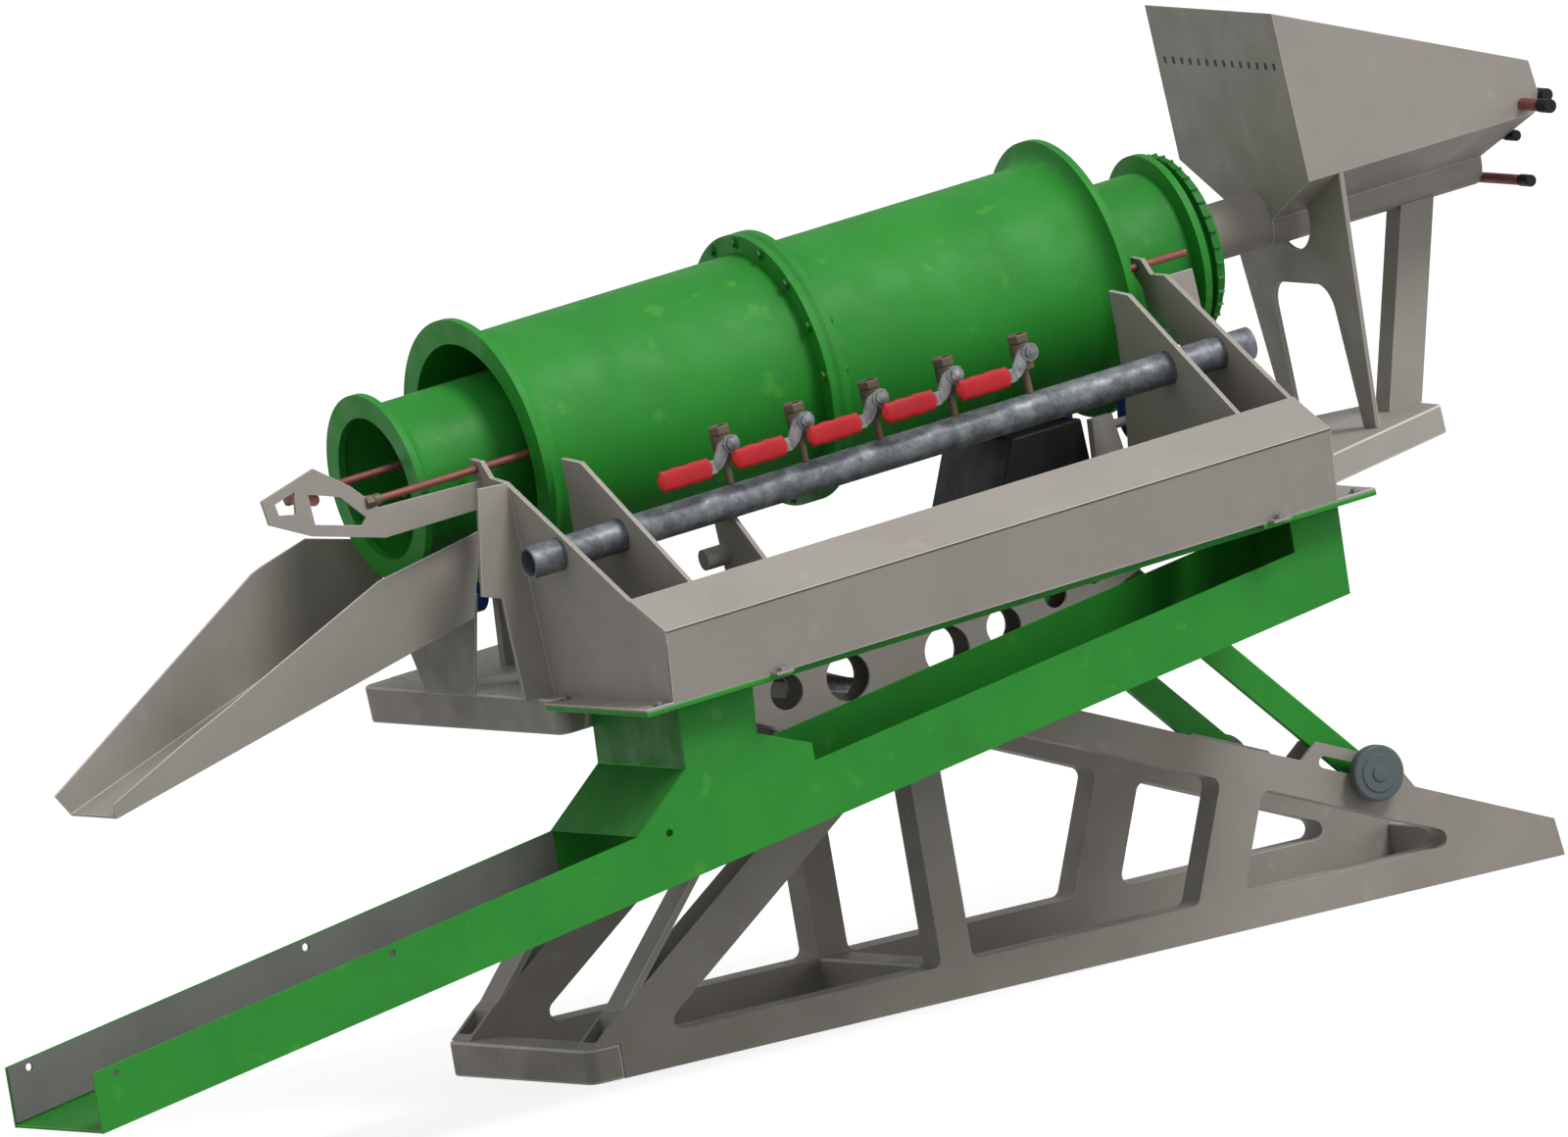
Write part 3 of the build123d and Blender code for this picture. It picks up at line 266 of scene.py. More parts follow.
slatePlastic = paintMaterial(
    "slatePlastic", (84, 93, 95), (72, 82, 84), (102, 110, 110), 0.5, 0.2, depth=0.0003
)
redVinyl = paintMaterial("redVinyl", (182, 32, 40), (160, 26, 34), (204, 54, 56), 0.4, 0.2)
blueNylon = paintMaterial("blueNylon", (20, 58, 150), (14, 44, 122), (40, 80, 170), 0.4, 0.2)
capRubber = paintMaterial("capRubber", (16, 16, 17), (12, 12, 12), (34, 34, 34), 0.4, 0.2)
copperTube = paintMaterial(
    "copperTube", (142, 84, 78), (112, 66, 62), (176, 116, 100), 0.7, 0.6, metallic=0.35
)
dullBrass = paintMaterial("dullBrass", (112, 98, 82), (78, 68, 58), (150, 134, 110), 0.7, 0.5, metallic=0.5)
steelZinc = newMaterial(
    "steelZinc", zincSpangle, {"Dark": tone(104, 106, 110), "Light": tone(160, 160, 162)}, {"metallic": 0.5}
)
pipeZinc = newMaterial(
    "pipeZinc",
    zincSpangle,
    {"Dark": tone(86, 90, 96), "Light": tone(138, 142, 146)},
    {"metallic": 0.35, "bump": 0.3},
)
print("materials made")


# mesh helpers
def addPiece(name, mesh, materials, body, matrix=None, shade=True):
    if matrix is not None:
        mesh.transform(matrix)
    piece = bpy.data.objects.new(name, mesh)
    bpy.context.scene.collection.objects.link(piece)
    for material in materials:
        mesh.materials.append(material)
    if shade:
        mesh.shade_smooth()
        mesh.set_sharp_from_angle(angle=math.radians(38))
    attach(piece, body)
    return piece


def meshFrom(bm, name):
    bmesh.ops.remove_doubles(bm, verts=bm.verts, dist=1e-6)
    bmesh.ops.recalc_face_normals(bm, faces=bm.faces)
    mesh = bpy.data.meshes.new(name)
    bm.to_mesh(mesh)
    bm.free()
    return mesh


def latheInto(bm, profile, steps, matrix, slot=0):  # profile: pairs of radius and height in mm
    rings = []
    for radius, height in profile:
        ring = []
        for step in range(steps):
            angle = 2 * math.pi * step / steps
            local = Vector((radius * math.cos(angle), radius * math.sin(angle), height)) * mm
            ring.append(bm.verts.new(matrix @ local))
        rings.append(ring)
    for low, high in zip(rings, rings[1:]):
        for step in range(steps):
            after = (step + 1) % steps
            bm.faces.new((low[step], low[after], high[after], high[step])).material_index = slot
    if profile[0][0] > 0:
        bm.faces.new(rings[0]).material_index = slot
    if profile[-1][0] > 0:
        bm.faces.new(rings[-1]).material_index = slot


# a CAD plate with its edges eased, the bevels given a lighter paint as a painted highlight
def softened(nodeName, width, paint, edgeHighlight, body="frame"):
    mesh = nodes[nodeName].data.copy()
    bm = bmesh.new()
    bm.from_mesh(mesh)
    bmesh.ops.remove_doubles(bm, verts=bm.verts, dist=1e-5)
    bmesh.ops.dissolve_limit(bm, angle_limit=math.radians(1), verts=bm.verts, edges=bm.edges)
    bm.to_mesh(mesh)
    bm.free()
    mesh.materials.clear()
    mesh.shade_smooth()
    mesh.materials.append(paint)
    mesh.materials.append(edgeHighlight)
    host = bpy.data.objects.new(nodeName + "Host", mesh)
    bpy.context.scene.collection.objects.link(host)
    bevel = host.modifiers.new("easedEdges", "BEVEL")
    bevel.width = width * mm
    bevel.segments = 2
    bevel.limit_method = "ANGLE"
    bevel.angle_limit = math.radians(40)
    bevel.material = 1
    host.modifiers.new("levelFaces", "WEIGHTED_NORMAL")
    evaluated = host.evaluated_get(bpy.context.evaluated_depsgraph_get())
    eased = bpy.data.meshes.new_from_object(evaluated)
    bpy.data.objects.remove(host)
    piece = addPiece(nodeName + "Eased", eased, [], body, shade=False)
    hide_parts(nodeName)
    return piece


def repaint(nodeName, material):
    for slot in nodes[nodeName].material_slots:
        slot.link = "OBJECT"
        slot.material = material


# CAD nodes that keep their shape
keptNodes = {
    "pivot_shaft": steelZinc,
    "roller_stands": greyPaint,
    "hopper_pipes": copperTube,
    "inner_drum": greenPaint,
    "outer_drum_left": greenPaint,
    "outer_drum_right": greenPaint,
    "drum_spider": darkGreenPaint,
    "sprocket_ring": darkGreenPaint,
    "feed_pipe": greyPaint,
    "manifold_pipe": pipeZinc,
    "spray_bars_outer": copperTube,
    "spray_bar_inner": copperTube,
    "roller_left_near": blueNylon,
    "roller_left_far": blueNylon,
    "roller_right_near": blueNylon,
    "roller_right_far": blueNylon,
    "slope_knob_near": slatePlastic,
    "slope_knob_far": slatePlastic,
}
for nodeName, material in keptNodes.items():
    repaint(nodeName, material)

# sheet and box pieces: edge width in mm, paint and edge colour (a lighter paint on the bevels: painted
# highlight)
easedNodes = {
    "skid_side_near": (2.5, skidPaint, greyEdgeHighlight),
    "skid_side_far": (2.5, skidPaint, greyEdgeHighlight),
    "skid_front_beam": (2.5, skidPaint, greyEdgeHighlight),
    "skid_cross_beams": (2.5, skidPaint, greyEdgeHighlight),
    "front_props": (1, greyPaint, greyEdgeHighlight),
    "chassis_rail_near": (1, greyPaint, greyEdgeHighlight),
    "chassis_rail_far": (1, greyPaint, greyEdgeHighlight),
    "chassis_front_beam": (2, greyPaint, greyEdgeHighlight),
    "chassis_cross_beams": (2, greyPaint, greyEdgeHighlight),
    "chassis_tail": (2, greyPaint, greyEdgeHighlight),
    "tray_floor": (0.8, greyPaint, greyEdgeHighlight),
    "tray_gusset_1": (1.2, greyPaint, greyEdgeHighlight),
    "tray_gusset_2": (1.2, greyPaint, greyEdgeHighlight),
    "tray_gusset_3": (1.2, greyPaint, greyEdgeHighlight),
    "tray_gusset_4": (1.2, greyPaint, greyEdgeHighlight),
    "tray_panel": (0.8, greyPaint, greyEdgeHighlight),
    "manifold_stay": (1, greyPaint, greyEdgeHighlight),
    "spray_bracket": (1.2, greyPaint, greyEdgeHighlight),
    "chute": (0.9, greyPaint, greyEdgeHighlight),
    "chute_gusset": (0.8, greyPaint, greyEdgeHighlight),
    "hopper_bin": (0.9, greyPaint, greyEdgeHighlight),
    "hopper_arch": (1.2, greyPaint, greyEdgeHighlight),
    "hopper_post": (0.9, greyPaint, greyEdgeHighlight),
    "drive_housing": (3, blackPaint, blackPaint),
    "slope_link_near": (1.5, greenPaint, greenEdgeHighlight),
    "slope_link_far": (1.5, greenPaint, greenEdgeHighlight),
    "riser_flange": (1, greenPaint, greenEdgeHighlight),
    "sluice_side_near": (0.8, greenPaint, greenEdgeHighlight),
    "sluice_side_far": (0.8, greenPaint, greenEdgeHighlight),
    "sluice_floor": (0.8, darkGreenPaint, greenEdgeHighlight),
    "riser_ends": (0.8, darkGreenPaint, greenEdgeHighlight),
}
for nodeName, (width, paint, edgeHighlight) in easedNodes.items():
    softened(nodeName, width, paint, edgeHighlight)
print("CAD pieces dressed")


# Geometry Nodes for what repeats
def geometryTree(name, inputs):
    tree = bpy.data.node_groups.new(name, "GeometryNodeTree")
    for label, kind, value in inputs:
        socket = tree.interface.new_socket(name=label, in_out="INPUT", socket_type=kind)
        socket.default_value = value
    tree.interface.new_socket(name="Geometry", in_out="OUTPUT", socket_type="NodeSocketGeometry")
    return tree, addNode(tree, "NodeGroupInput"), addNode(tree, "NodeGroupOutput")


def finishTree(tree, geometry, end, material):
    realize = addNode(tree, "GeometryNodeRealizeInstances")
    paint = addNode(tree, "GeometryNodeSetMaterial")
    paint.inputs["Material"].default_value = material
    tree.links.new(geometry, realize.inputs["Geometry"])
    tree.links.new(realize.outputs["Geometry"], paint.inputs["Geometry"])
    tree.links.new(paint.outputs["Geometry"], end.inputs["Geometry"])


def boltHead(tree, start):  # washer and six-sided head, standing on the face
    washerRadius = addNode(tree, "ShaderNodeMath", operation="MULTIPLY")
    washerRadius.inputs[1].default_value = 1.45
    tree.links.new(start.outputs["Head Radius"], washerRadius.inputs[0])
    join = addNode(tree, "GeometryNodeJoinGeometry")
    for sides, radius, share in ((6, start.outputs["Head Radius"], 1), (16, washerRadius.outputs[0], 0.22)):
        height = addNode(tree, "ShaderNodeMath", operation="MULTIPLY")
        height.inputs[1].default_value = share
        tree.links.new(start.outputs["Head Height"], height.inputs[0])
        head = addNode(tree, "GeometryNodeMeshCylinder")
        head.inputs["Vertices"].default_value = sides
        tree.links.new(radius, head.inputs["Radius"])
        tree.links.new(height.outputs[0], head.inputs["Depth"])
        rise = addNode(tree, "ShaderNodeMath", operation="MULTIPLY")
        rise.inputs[1].default_value = 0.5
        tree.links.new(height.outputs[0], rise.inputs[0])
        lift = addNode(tree, "ShaderNodeCombineXYZ")
        tree.links.new(rise.outputs[0], lift.inputs["Z"])
        move = addNode(tree, "GeometryNodeTransform")
        tree.links.new(head.outputs["Mesh"], move.inputs["Geometry"])
        tree.links.new(lift.outputs[0], move.inputs["Translation"])
        tree.links.new(move.outputs["Geometry"], join.inputs["Geometry"])
    return join.outputs["Geometry"]


boltInputs = [
    ("Count", "NodeSocketInt", 6),
    ("Head Radius", "NodeSocketFloat", 0.006),
    ("Head Height", "NodeSocketFloat", 0.005),
]


def makeBoltRing(material):
    tree, start, end = geometryTree("boltRing", boltInputs + [("Ring Radius", "NodeSocketFloat", 0.1)])
    ring = addNode(tree, "GeometryNodeMeshCircle")
    tree.links.new(start.outputs["Count"], ring.inputs["Vertices"])
    tree.links.new(start.outputs["Ring Radius"], ring.inputs["Radius"])
    copies = addNode(tree, "GeometryNodeInstanceOnPoints")
    tree.links.new(ring.outputs["Mesh"], copies.inputs["Points"])
    tree.links.new(boltHead(tree, start), copies.inputs["Instance"])
    finishTree(tree, copies.outputs["Instances"], end, material)
    return tree


def makeBoltRow(material):
    tree, start, end = geometryTree("boltRow", boltInputs + [("Spacing", "NodeSocketFloat", 0.1)])
    row = addNode(tree, "GeometryNodeMeshLine")
    step = addNode(tree, "ShaderNodeCombineXYZ")
    tree.links.new(start.outputs["Spacing"], step.inputs["X"])
    tree.links.new(start.outputs["Count"], row.inputs["Count"])
    tree.links.new(step.outputs[0], row.inputs["Offset"])
    copies = addNode(tree, "GeometryNodeInstanceOnPoints")
    tree.links.new(row.outputs["Mesh"], copies.inputs["Points"])
    tree.links.new(boltHead(tree, start), copies.inputs["Instance"])
    finishTree(tree, copies.outputs["Instances"], end, material)
    return tree


def makeBeadRow(material):  # a row of squashed beads: a weld, or nozzles along a pipe
    tree, start, end = geometryTree(
        "beadRow",
        [
            ("Count", "NodeSocketInt", 10),
            ("Spacing", "NodeSocketFloat", 0.003),
            ("Bead Radius", "NodeSocketFloat", 0.003),
            ("Flatten", "NodeSocketFloat", 0.6),
        ],
    )
    row = addNode(tree, "GeometryNodeMeshLine")
    step = addNode(tree, "ShaderNodeCombineXYZ")
    tree.links.new(start.outputs["Spacing"], step.inputs["X"])
    tree.links.new(start.outputs["Count"], row.inputs["Count"])
    tree.links.new(step.outputs[0], row.inputs["Offset"])
    bead = addNode(tree, "GeometryNodeMeshUVSphere")
    bead.inputs["Segments"].default_value = 8
    bead.inputs["Rings"].default_value = 5
    tree.links.new(start.outputs["Bead Radius"], bead.inputs["Radius"])
    squash = addNode(tree, "ShaderNodeCombineXYZ")
    squash.inputs["X"].default_value = 0.8
    squash.inputs["Y"].default_value = 1
    tree.links.new(start.outputs["Flatten"], squash.inputs["Z"])
    copies = addNode(tree, "GeometryNodeInstanceOnPoints")
    tree.links.new(row.outputs["Mesh"], copies.inputs["Points"])
    tree.links.new(bead.outputs["Mesh"], copies.inputs["Instance"])
    tree.links.new(squash.outputs[0], copies.inputs["Scale"])
    finishTree(tree, copies.outputs["Instances"], end, material)
    return tree


def makeSlotShadeRow(material):
    tree, start, end = geometryTree(
        "slotShadeRow",
        [
            ("Count", "NodeSocketInt", 14),
            ("Spacing", "NodeSocketFloat", 0.016),
            ("Slot Size", "NodeSocketVector", (0.004, 0.01, 0.001)),
        ],
    )
    row = addNode(tree, "GeometryNodeMeshLine")
    step = addNode(tree, "ShaderNodeCombineXYZ")
    tree.links.new(start.outputs["Spacing"], step.inputs["X"])
    tree.links.new(start.outputs["Count"], row.inputs["Count"])
    tree.links.new(step.outputs[0], row.inputs["Offset"])
    plate = addNode(tree, "GeometryNodeMeshCube")
    tree.links.new(start.outputs["Slot Size"], plate.inputs["Size"])
    copies = addNode(tree, "GeometryNodeInstanceOnPoints")
    tree.links.new(row.outputs["Mesh"], copies.inputs["Points"])
    tree.links.new(plate.outputs["Mesh"], copies.inputs["Instance"])
    finishTree(tree, copies.outputs["Instances"], end, material)
    return tree


def bakeTree(name, tree, values, matrix, body):
    host = bpy.data.objects.new(name + "Host", bpy.data.meshes.new(name + "Host"))
    bpy.context.scene.collection.objects.link(host)
    modifier = host.modifiers.new("repeat", "NODES")
    modifier.node_group = tree
    for item in tree.interface.items_tree:
        if item.in_out == "INPUT" and item.name in values:
            modifier[item.identifier] = values[item.name]
    evaluated = host.evaluated_get(bpy.context.evaluated_depsgraph_get())
    mesh = bpy.data.meshes.new_from_object(evaluated)
    bpy.data.objects.remove(host)
    return addPiece(name, mesh, [], body, matrix)


boltRing = makeBoltRing(dullBrass)
greenBoltRing = makeBoltRing(darkGreenPaint)
boltRow = makeBoltRow(steelZinc)
greyWeld = makeBeadRow(greyPaint)
nozzleRow = makeBeadRow(dullBrass)
# thin dark plates standing for open slots: painted shade
slotShadeRow = makeSlotShadeRow(capRubber)

# bolts that hold the drum halves together
drumBolts = {
    "count": 16,
    "ringRadius": 135,
    "headRadius": 5,
    "headHeight": 4,
    "leftFace": -15,
    "rightFace": 7,
}
for label, a, turn in (("left", drumBolts["leftFace"], True), ("right", drumBolts["rightFace"], False)):
    matrix = acrossMatrix(a, 0, axisHeight)
    if turn:
        matrix = matrix @ Matrix.Rotation(math.pi, 4, "X")
    bakeTree(
        "drumBolts_" + label,
        greenBoltRing,
        {
            "Count": drumBolts["count"],
            "Ring Radius": drumBolts["ringRadius"] * mm,
            "Head Radius": drumBolts["headRadius"] * mm,
            "Head Height": drumBolts["headHeight"] * mm,
        },
        matrix,
        "drum",
    )

# clamp bolts on the flange round the riser, two of them on lugs: places are along the deck and Y
flangeBolts = {
    "places": [(-427, -222), (-426, -422), (-287, -438), (304, -438), (402, -422)],
    "headRadius": 4.5,
    "headHeight": 4,
}
flangeLugs = {"places": [-287, 304], "length": 20, "depth": 15, "thickness": 3, "y": -437.5}
for number, (a, y) in enumerate(flangeBolts["places"], start=1):
    bakeTree(
        f"flangeBolt_{number}",
        boltRow,
        {
            "Count": 1,
            "Head Radius": flangeBolts["headRadius"] * mm,
            "Head Height": flangeBolts["headHeight"] * mm,
        },
        levelMatrix(a, y, -0.2),
        "frame",
    )
bm = bmesh.new()
lugSize = Vector((flangeLugs["length"], flangeLugs["depth"], flangeLugs["thickness"])) * mm
for a in flangeLugs["places"]:
    lugPlace = levelMatrix(a, flangeLugs["y"], -flangeLugs["thickness"] / 2)
    bmesh.ops.create_cube(bm, size=1, matrix=lugPlace @ Matrix.Diagonal(lugSize).to_4x4())
addPiece("flangeLugs", meshFrom(bm, "flangeLugs"), [greyPaint], "frame")

# dark plates in the slots across the hopper's left wall: painted shade seen through the slots
hopperSlotShade = {
    "count": 14,
    "a": 573.6,
    "firstY": 127,
    "h": 392.7,
    "spacing": 18.4,
    "width": 4.5,
    "height": 7,
}
slotStart = onDeck(hopperSlotShade["a"], hopperSlotShade["firstY"], hopperSlotShade["h"])
bakeTree(
    "hopperSlotShade",
    slotShadeRow,
    {
        "Count": hopperSlotShade["count"],
        "Spacing": hopperSlotShade["spacing"] * mm,
        "Slot Size": (hopperSlotShade["width"] * mm, hopperSlotShade["height"] * mm, 0.6 * mm),
    },
    placeMatrix(slotStart, -acrossDir, upDir, -alongDir),
    "frame",
)

# welds where the gussets meet the tray panel
weldLook = {"beadRadius": 2.6, "spacing": 2.6, "flatten": 0.7}
panelDir = (upDir * 74 - acrossDir * 18.6).normalized()
gussetPlaces = [-410, -337, 314, 375]
for number, a in enumerate(gussetPlaces, start=1):
    for label, face in (("left", -2.5), ("right", 2.5)):
        bakeTree(
            f"gussetWeld_{number}_{label}",
            greyWeld,
            {
                "Count": 24,
                "Spacing": weldLook["spacing"] * mm,
                "Bead Radius": weldLook["beadRadius"] * mm,
                "Flatten": weldLook["flatten"],
            },
            placeMatrix(onDeck(a + face, -427.5, 2), panelDir, alongDir, panelDir.cross(alongDir)),
            "frame",
        )

# dark strip along the fold under the lip of the tray panel: painted shade in the crease
creaseShade = {"start": -412, "end": 377, "y": -449.3, "h": 74.3, "width": 1.8, "height": 0.6}
bm = bmesh.new()
middle = onDeck((creaseShade["start"] + creaseShade["end"]) / 2, creaseShade["y"], creaseShade["h"])
creaseShadeMatrix = placeMatrix(middle, alongDir, panelDir, alongDir.cross(panelDir))
reach = Vector((creaseShade["end"] - creaseShade["start"], creaseShade["width"], creaseShade["height"])) * mm
bmesh.ops.create_cube(bm, size=1, matrix=creaseShadeMatrix @ Matrix.Diagonal(reach).to_4x4())
addPiece("panelCreaseShade", meshFrom(bm, "panelCreaseShade"), [creaseShadeGrey], "frame")

# nozzles along the copper spray bars
nozzles = {"spacing": 30, "beadRadius": 2.2, "y": -108.7, "h": 232, "innerY": -54, "innerH": 250}
for label, first, count, y, h in (
    ("left", -500, 14, nozzles["y"], nozzles["h"]),
    ("right", 80, 11, nozzles["y"], nozzles["h"]),
    ("inner", -560, 31, nozzles["innerY"], nozzles["innerH"]),
):
    bakeTree(
        "nozzles_" + label,
        nozzleRow,
        {
            "Count": count,
            "Spacing": nozzles["spacing"] * mm,
            "Bead Radius": nozzles["beadRadius"] * mm,
            "Flatten": 1.0,
        },
        levelMatrix(first, y, h),
        "frame",
    )
print("repeated pieces made")

# valves: brass bodies with open outlets, steel levers in red sleeves
valve = {
    "places": [-203.7 + 88.8 * index for index in range(5)],
    "pipeY": -250,
    "pipeTop": 167.6,
    "stemRise": 44,
    "bodyRadius": 12,
    "outletRise": 18,
    "boreRadius": 8,
    "leverFace": -268,
    "leverThickness": 3,
    "leverWidth": 12,
    "leverLength": 97,
    "leverDrop": 16,
    "leverCrank": 13,
    "sleeveLength": 64,
    "sleeveWidth": 22,
    "sleeveThickness": 8,
}
stemH = valve["pipeTop"] + valve["stemRise"]


def makeValveBodies():
    radius = valve["bodyRadius"]
    bm = bmesh.new()
    for a in valve["places"]:
        base = levelMatrix(a, valve["pipeY"], 0)
        low = stemH - 1.6 * radius
        latheInto(bm, [(4, valve["pipeTop"]), (4, low)], 20, base)
        nut = [(radius * 0.9, low), (radius, low + 1), (radius, low + 7), (radius * 0.86, low + 8)]
        latheInto(bm, nut, 6, base)
        barrel = [
            (8.6, low + 8), (9.8, stemH - 9), (10.6, stemH - 5),
            (10.9, stemH), (10.6, stemH + 5), (9.8, stemH + 9),
        ]
        latheInto(bm, barrel, 28, base)
        top = stemH + valve["outletRise"]
        bore = valve["boreRadius"]
        outlet = [
            (radius * 0.84, stemH + 9), (radius, stemH + 10), (radius, top - 1), (radius * 0.92, top),
            (bore, top), (bore * 0.94, top - 1), (bore * 0.94, top - 12),
        ]
        latheInto(bm, outlet, 6, base)
        stem = sideMatrix(a, valve["pipeY"], stemH)
        latheInto(bm, [(6.5, 8), (6.5, 14), (4, 14.5), (4, 17.7)], 20, stem)
    piece = addPiece("valveBodiesFull", meshFrom(bm, "valveBodiesFull"), [dullBrass], "frame")
    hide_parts("valve_bodies")


def stripInto(bm, centre, width, thick, matrix, slot=0):  # a flat strip that follows a bent centre line
    rows = []
    for index, point in enumerate(centre):
        before = Vector(centre[max(index - 1, 0)])
        after = Vector(centre[min(index + 1, len(centre) - 1)])
        run = (after - before).to_2d().normalized()
        half = Vector((-run.y, run.x, 0)) * width / 2
        rise = Vector((0, 0, thick))
        middle = Vector(point)
        corners = [middle + half, middle - half, middle - half + rise, middle + half + rise]
        rows.append([bm.verts.new(matrix @ (corner * mm)) for corner in corners])
    for first, second in zip(rows, rows[1:]):
        for index in range(4):
            after = (index + 1) % 4
            bm.faces.new((first[index], first[after], second[after], second[index])).material_index = slot
    bm.faces.new(rows[0]).material_index = slot
    bm.faces.new(rows[-1]).material_index = slot


# a dipped vinyl grip: full in the middle, rounded at both ends
def sleeveInto(bm, start, end, h, matrix, slot):
    middle = valve["leverThickness"] / 2 + valve["leverCrank"]
    rings = 15
    around = 20
    previous = None
    for ring in range(rings + 1):
        share = ring / rings
        swell = min(1, 0.35 + 2.6 * math.sqrt(max(0, min(share, 1 - share))))
        grip = 1 + 0.05 * math.cos(share * math.pi * 6)
        halfWidth = valve["sleeveWidth"] / 2 * swell * (grip if 0.1 < share < 0.9 else 1)
        halfThick = valve["sleeveThickness"] / 2 * swell
        row = []
        for step in range(around):
            angle = 2 * math.pi * step / around
            power = 0.75
            c, s = math.cos(angle), math.sin(angle)
            y = math.copysign(abs(c) ** power, c) * halfWidth
            z = math.copysign(abs(s) ** power, s) * halfThick
            local = Vector((start + (end - start) * share, h + y, z + middle))
            row.append(bm.verts.new(matrix @ (local * mm)))
        if previous:
            for step in range(around):
                after = (step + 1) % around
                bm.faces.new((previous[step], previous[after], row[after], row[step])).material_index = slot
        else:
            bm.faces.new(row).material_index = slot
        previous = row
    bm.faces.new(previous).material_index = slot


def makeLever(number, a):
    length = valve["leverLength"]
    drop = valve["leverDrop"]
    thick = valve["leverThickness"]
    matrix = sideMatrix(a, valve["leverFace"], stemH)
    bm = bmesh.new()
    crank = valve["leverCrank"]
    centre = [
        (8, 0, 0), (-6, 0, 0), (-9, -1.5, 0), (-12, -6, 0),
        (-15, -11, 0), (-18, -drop + 1.5, 0), (-21, -drop, 1),
        (-28, -drop, crank - 1), (-31, -drop, crank), (-length + 20, -drop, crank),
    ]
    stripInto(bm, centre, valve["leverWidth"] * 1.15, thick, matrix)
    latheInto(bm, [(9.5, thick + 0.2), (9.5, thick + 1), (8, thick + 1.1)], 24, matrix)
    latheInto(bm, [(6.6, thick + 1), (6.6, thick + 3.5), (5.6, thick + 4)], 6, matrix)
    latheInto(bm, [(3, thick + 4), (3, thick + 4.5), (2.4, thick + 4.8)], 14, matrix)
    sleeveInto(bm, -length + valve["sleeveLength"], -length, -drop, matrix, 1)
    mesh = meshFrom(bm, f"lever_{number}")
    piece = addPiece(f"leverSleeved_{number}", mesh, [steelZinc, redVinyl], f"lever_{number}")
    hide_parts(f"valve_lever_{number}")


makeValveBodies()
for number, a in enumerate(valve["places"], start=1):
    makeLever(number, a)
print("valves made")

# fittings at the left ends of the spray bars
barFittings = {"outer": (-540, -108.7, 236), "inner": (-600, -54, 254)}
bm = bmesh.new()
for a, y, h in barFittings.values():
    base = acrossMatrix(a, y, h)
    latheInto(bm, [(5.5, -6), (7.5, -5), (7.5, 3), (6, 4)], 6, base)
    latheInto(bm, [(6, 4), (6.4, 5), (6.4, 12), (4.4, 13.5), (4.4, 18)], 24, base)
addPiece("barFittings", meshFrom(bm, "barFittings"), [dullBrass], "frame")

# black rubber ends on the hopper's cross pipes
pipeCaps = {"length": 20, "over": 0.8}
hopperPipes = [
    (855.9, -141, 287.4, 6),
    (831, -192.3, 284, 6.5),
    (836.8, -90, 247.9, 5),
    (827.8, -118, 203.5, 5.5),
]
bm = bmesh.new()
for a, endY, h, radius in hopperPipes:  # place along the deck, near end, height and radius
    base = placeMatrix(onDeck(a, endY, h), alongDir, -upDir, acrossDir)
    outer = radius + pipeCaps["over"]
    cap = [(outer - 1, -1), (outer, 0), (outer, pipeCaps["length"]), (radius, pipeCaps["length"] + 0.5)]
    latheInto(bm, cap, 24, base)
addPiece("pipeCaps", meshFrom(bm, "pipeCaps"), [capRubber], "frame")

# grey liner sheet on the far wall of the sluice, from the mouth to the riser; its dark grey is partly
# painted shade of the wall's inner face
sluice = {"mouthX": -685, "mouthZ": 103, "slope": 0.1615, "wallTop": 63, "farWallY": -209.2}
liner = {"thickness": 1.2, "leftX": -684, "rightX": -24, "floor": 4.6, "wall": 62}
linerHoles = {"x": [-659, -324], "drop": 9, "radius": 4.2}


def sluiceZ(x):
    return sluice["mouthZ"] + (x - sluice["mouthX"]) * sluice["slope"]


bm = bmesh.new()
outline = []
for x, rise in (
    (liner["leftX"], liner["floor"]), (liner["rightX"], liner["floor"]),
    (liner["rightX"], liner["wall"]), (liner["leftX"], liner["wall"]),
):
    outline.append((x, sluiceZ(x) + rise))
front, back = [
    [bm.verts.new(Vector((x, y, z)) * mm) for x, z in outline]
    for y in (sluice["farWallY"] - liner["thickness"], sluice["farWallY"])
]
bm.faces.new(front)
bm.faces.new(back)
for index in range(4):
    after = (index + 1) % 4
    bm.faces.new((front[index], front[after], back[after], back[index]))
host = bpy.data.objects.new("linerHost", meshFrom(bm, "linerHost"))
bm = bmesh.new()
for x in linerHoles["x"]:
    base = placeMatrix(
        Vector((x, sluice["farWallY"] - 4.8, sluiceZ(x) + sluice["wallTop"] - linerHoles["drop"])) * mm,
        Vector((1, 0, 0)), Vector((0, 0, -1)), Vector((0, 1, 0)),
    )
    latheInto(bm, [(linerHoles["radius"], 0), (linerHoles["radius"], 8)], 24, base)
cutter = bpy.data.objects.new("linerCutter", meshFrom(bm, "linerCutter"))
for thing in (host, cutter):
    bpy.context.scene.collection.objects.link(thing)
drill = host.modifiers.new("holes", "BOOLEAN")
drill.operation = "DIFFERENCE"
drill.object = cutter
evaluated = host.evaluated_get(bpy.context.evaluated_depsgraph_get())
drilled = bpy.data.meshes.new_from_object(evaluated)
bpy.data.objects.remove(host)
bpy.data.objects.remove(cutter)
addPiece("sluiceLiner", drilled, [linerShadeGrey], "frame")

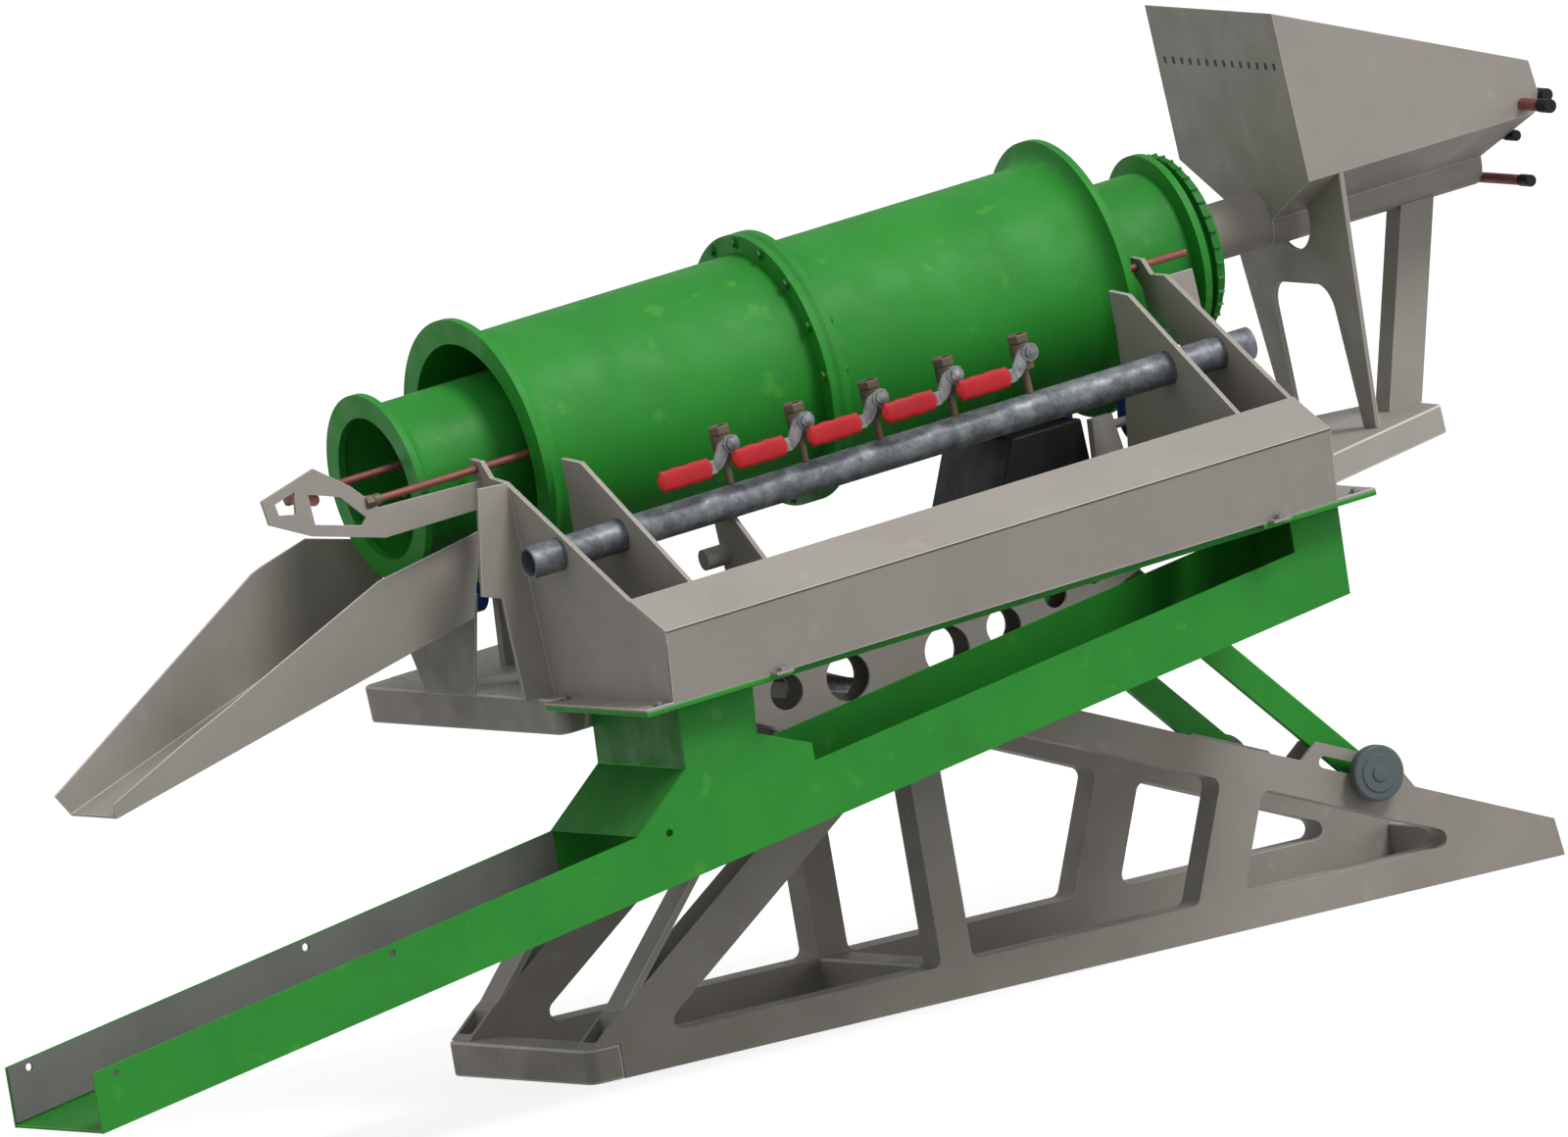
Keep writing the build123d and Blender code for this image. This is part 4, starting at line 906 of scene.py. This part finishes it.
# knob caps
knob = {"x": 937, "z": 128.7, "face": 177.8, "dish": 20}
for way in (-1, 1):
    bm = bmesh.new()
    base = placeMatrix(
        Vector((knob["x"], way * knob["face"], knob["z"])) * mm,
        Vector((1, 0, 0)), Vector((0, 0, -way)), Vector((0, way, 0)),
    )
    latheInto(bm, [(knob["dish"], -0.2), (knob["dish"] - 1, 0.8), (9, 0.9), (8, 2.4), (3, 3)], 32, base)
    part = meshFrom(bm, "knobCap")
    end = "near" if way < 0 else "far"
    addPiece("knobCap_" + end, part, [slatePlastic], "knob_" + end)
print("small fittings made")

# white studio: pale floor, soft world light and two lamps
stage = {
    "floorHalf": 14,
    "floorGlow": 0.8,
    "worldStrength": 0.62,
    "sunStrength": 2.0,
    "sunDirection": Vector((-0.35, 0.72, -1.0)),
    "fillStrength": 0.7,
    "fillDirection": Vector((-0.8, 0.55, -0.25)),
    "keyAngle": 18,
    "fillAngle": 40,
}


def makeFloor():
    half = stage["floorHalf"]
    mesh = bpy.data.meshes.new("studioFloor")
    corners = [(-half, -half, 0), (half, -half, 0), (half, half, 0), (-half, half, 0)]
    mesh.from_pydata(corners, [], [(0, 1, 2, 3)])
    floor = bpy.data.objects.new("studioFloor", mesh)
    floor.location.z = -0.0005
    bpy.context.scene.collection.objects.link(floor)
    material = bpy.data.materials.new("studioWhite")
    material.use_nodes = True
    tree = material.node_tree
    tree.nodes.clear()
    diffuse = addNode(tree, "ShaderNodeBsdfDiffuse")
    diffuse.inputs["Color"].default_value = tone(150, 150, 150)
    glow = addNode(tree, "ShaderNodeEmission")
    glow.inputs["Color"].default_value = (1, 1, 1, 1)
    rays = addNode(tree, "ShaderNodeLightPath")
    seen = addNode(tree, "ShaderNodeMath", operation="MAXIMUM")
    tree.links.new(rays.outputs["Is Camera Ray"], seen.inputs[0])
    tree.links.new(rays.outputs["Is Glossy Ray"], seen.inputs[1])
    level = addNode(tree, "ShaderNodeMath", operation="MULTIPLY")
    level.inputs[1].default_value = stage["floorGlow"]
    tree.links.new(seen.outputs[0], level.inputs[0])
    tree.links.new(level.outputs[0], glow.inputs["Strength"])
    both = addNode(tree, "ShaderNodeAddShader")
    tree.links.new(diffuse.outputs[0], both.inputs[0])
    tree.links.new(glow.outputs[0], both.inputs[1])
    end = addNode(tree, "ShaderNodeOutputMaterial")
    tree.links.new(both.outputs[0], end.inputs["Surface"])
    mesh.materials.append(material)


def makeWorld():
    world = bpy.data.worlds.new("studioSky")
    bpy.context.scene.world = world
    world.use_nodes = True
    tree = world.node_tree
    tree.nodes.clear()
    lightSky = addNode(tree, "ShaderNodeBackground")
    lightSky.inputs["Color"].default_value = (1, 1, 1, 1)
    lightSky.inputs["Strength"].default_value = stage["worldStrength"]
    whiteSky = addNode(tree, "ShaderNodeBackground")
    whiteSky.inputs["Color"].default_value = (1, 1, 1, 1)
    rays = addNode(tree, "ShaderNodeLightPath")
    seen = addNode(tree, "ShaderNodeMath", operation="MAXIMUM")
    tree.links.new(rays.outputs["Is Camera Ray"], seen.inputs[0])
    tree.links.new(rays.outputs["Is Transmission Ray"], seen.inputs[1])
    pick = addNode(tree, "ShaderNodeMixShader")
    tree.links.new(seen.outputs[0], pick.inputs[0])
    tree.links.new(lightSky.outputs[0], pick.inputs[1])
    tree.links.new(whiteSky.outputs[0], pick.inputs[2])
    end = addNode(tree, "ShaderNodeOutputWorld")
    tree.links.new(pick.outputs[0], end.inputs["Surface"])


def addSun(name, strength, direction, angle):
    lamp = bpy.data.lights.new(name, "SUN")
    lamp.energy = strength
    lamp.angle = math.radians(angle)
    sun = bpy.data.objects.new(name, lamp)
    sun.rotation_euler = direction.to_track_quat("-Z", "Y").to_euler()
    bpy.context.scene.collection.objects.link(sun)


makeFloor()
makeWorld()
addSun("keySun", stage["sunStrength"], stage["sunDirection"], stage["keyAngle"])
addSun("fillSun", stage["fillStrength"], stage["fillDirection"], stage["fillAngle"])
bpy.context.scene.view_settings.view_transform = "Standard"
print("studio lit")
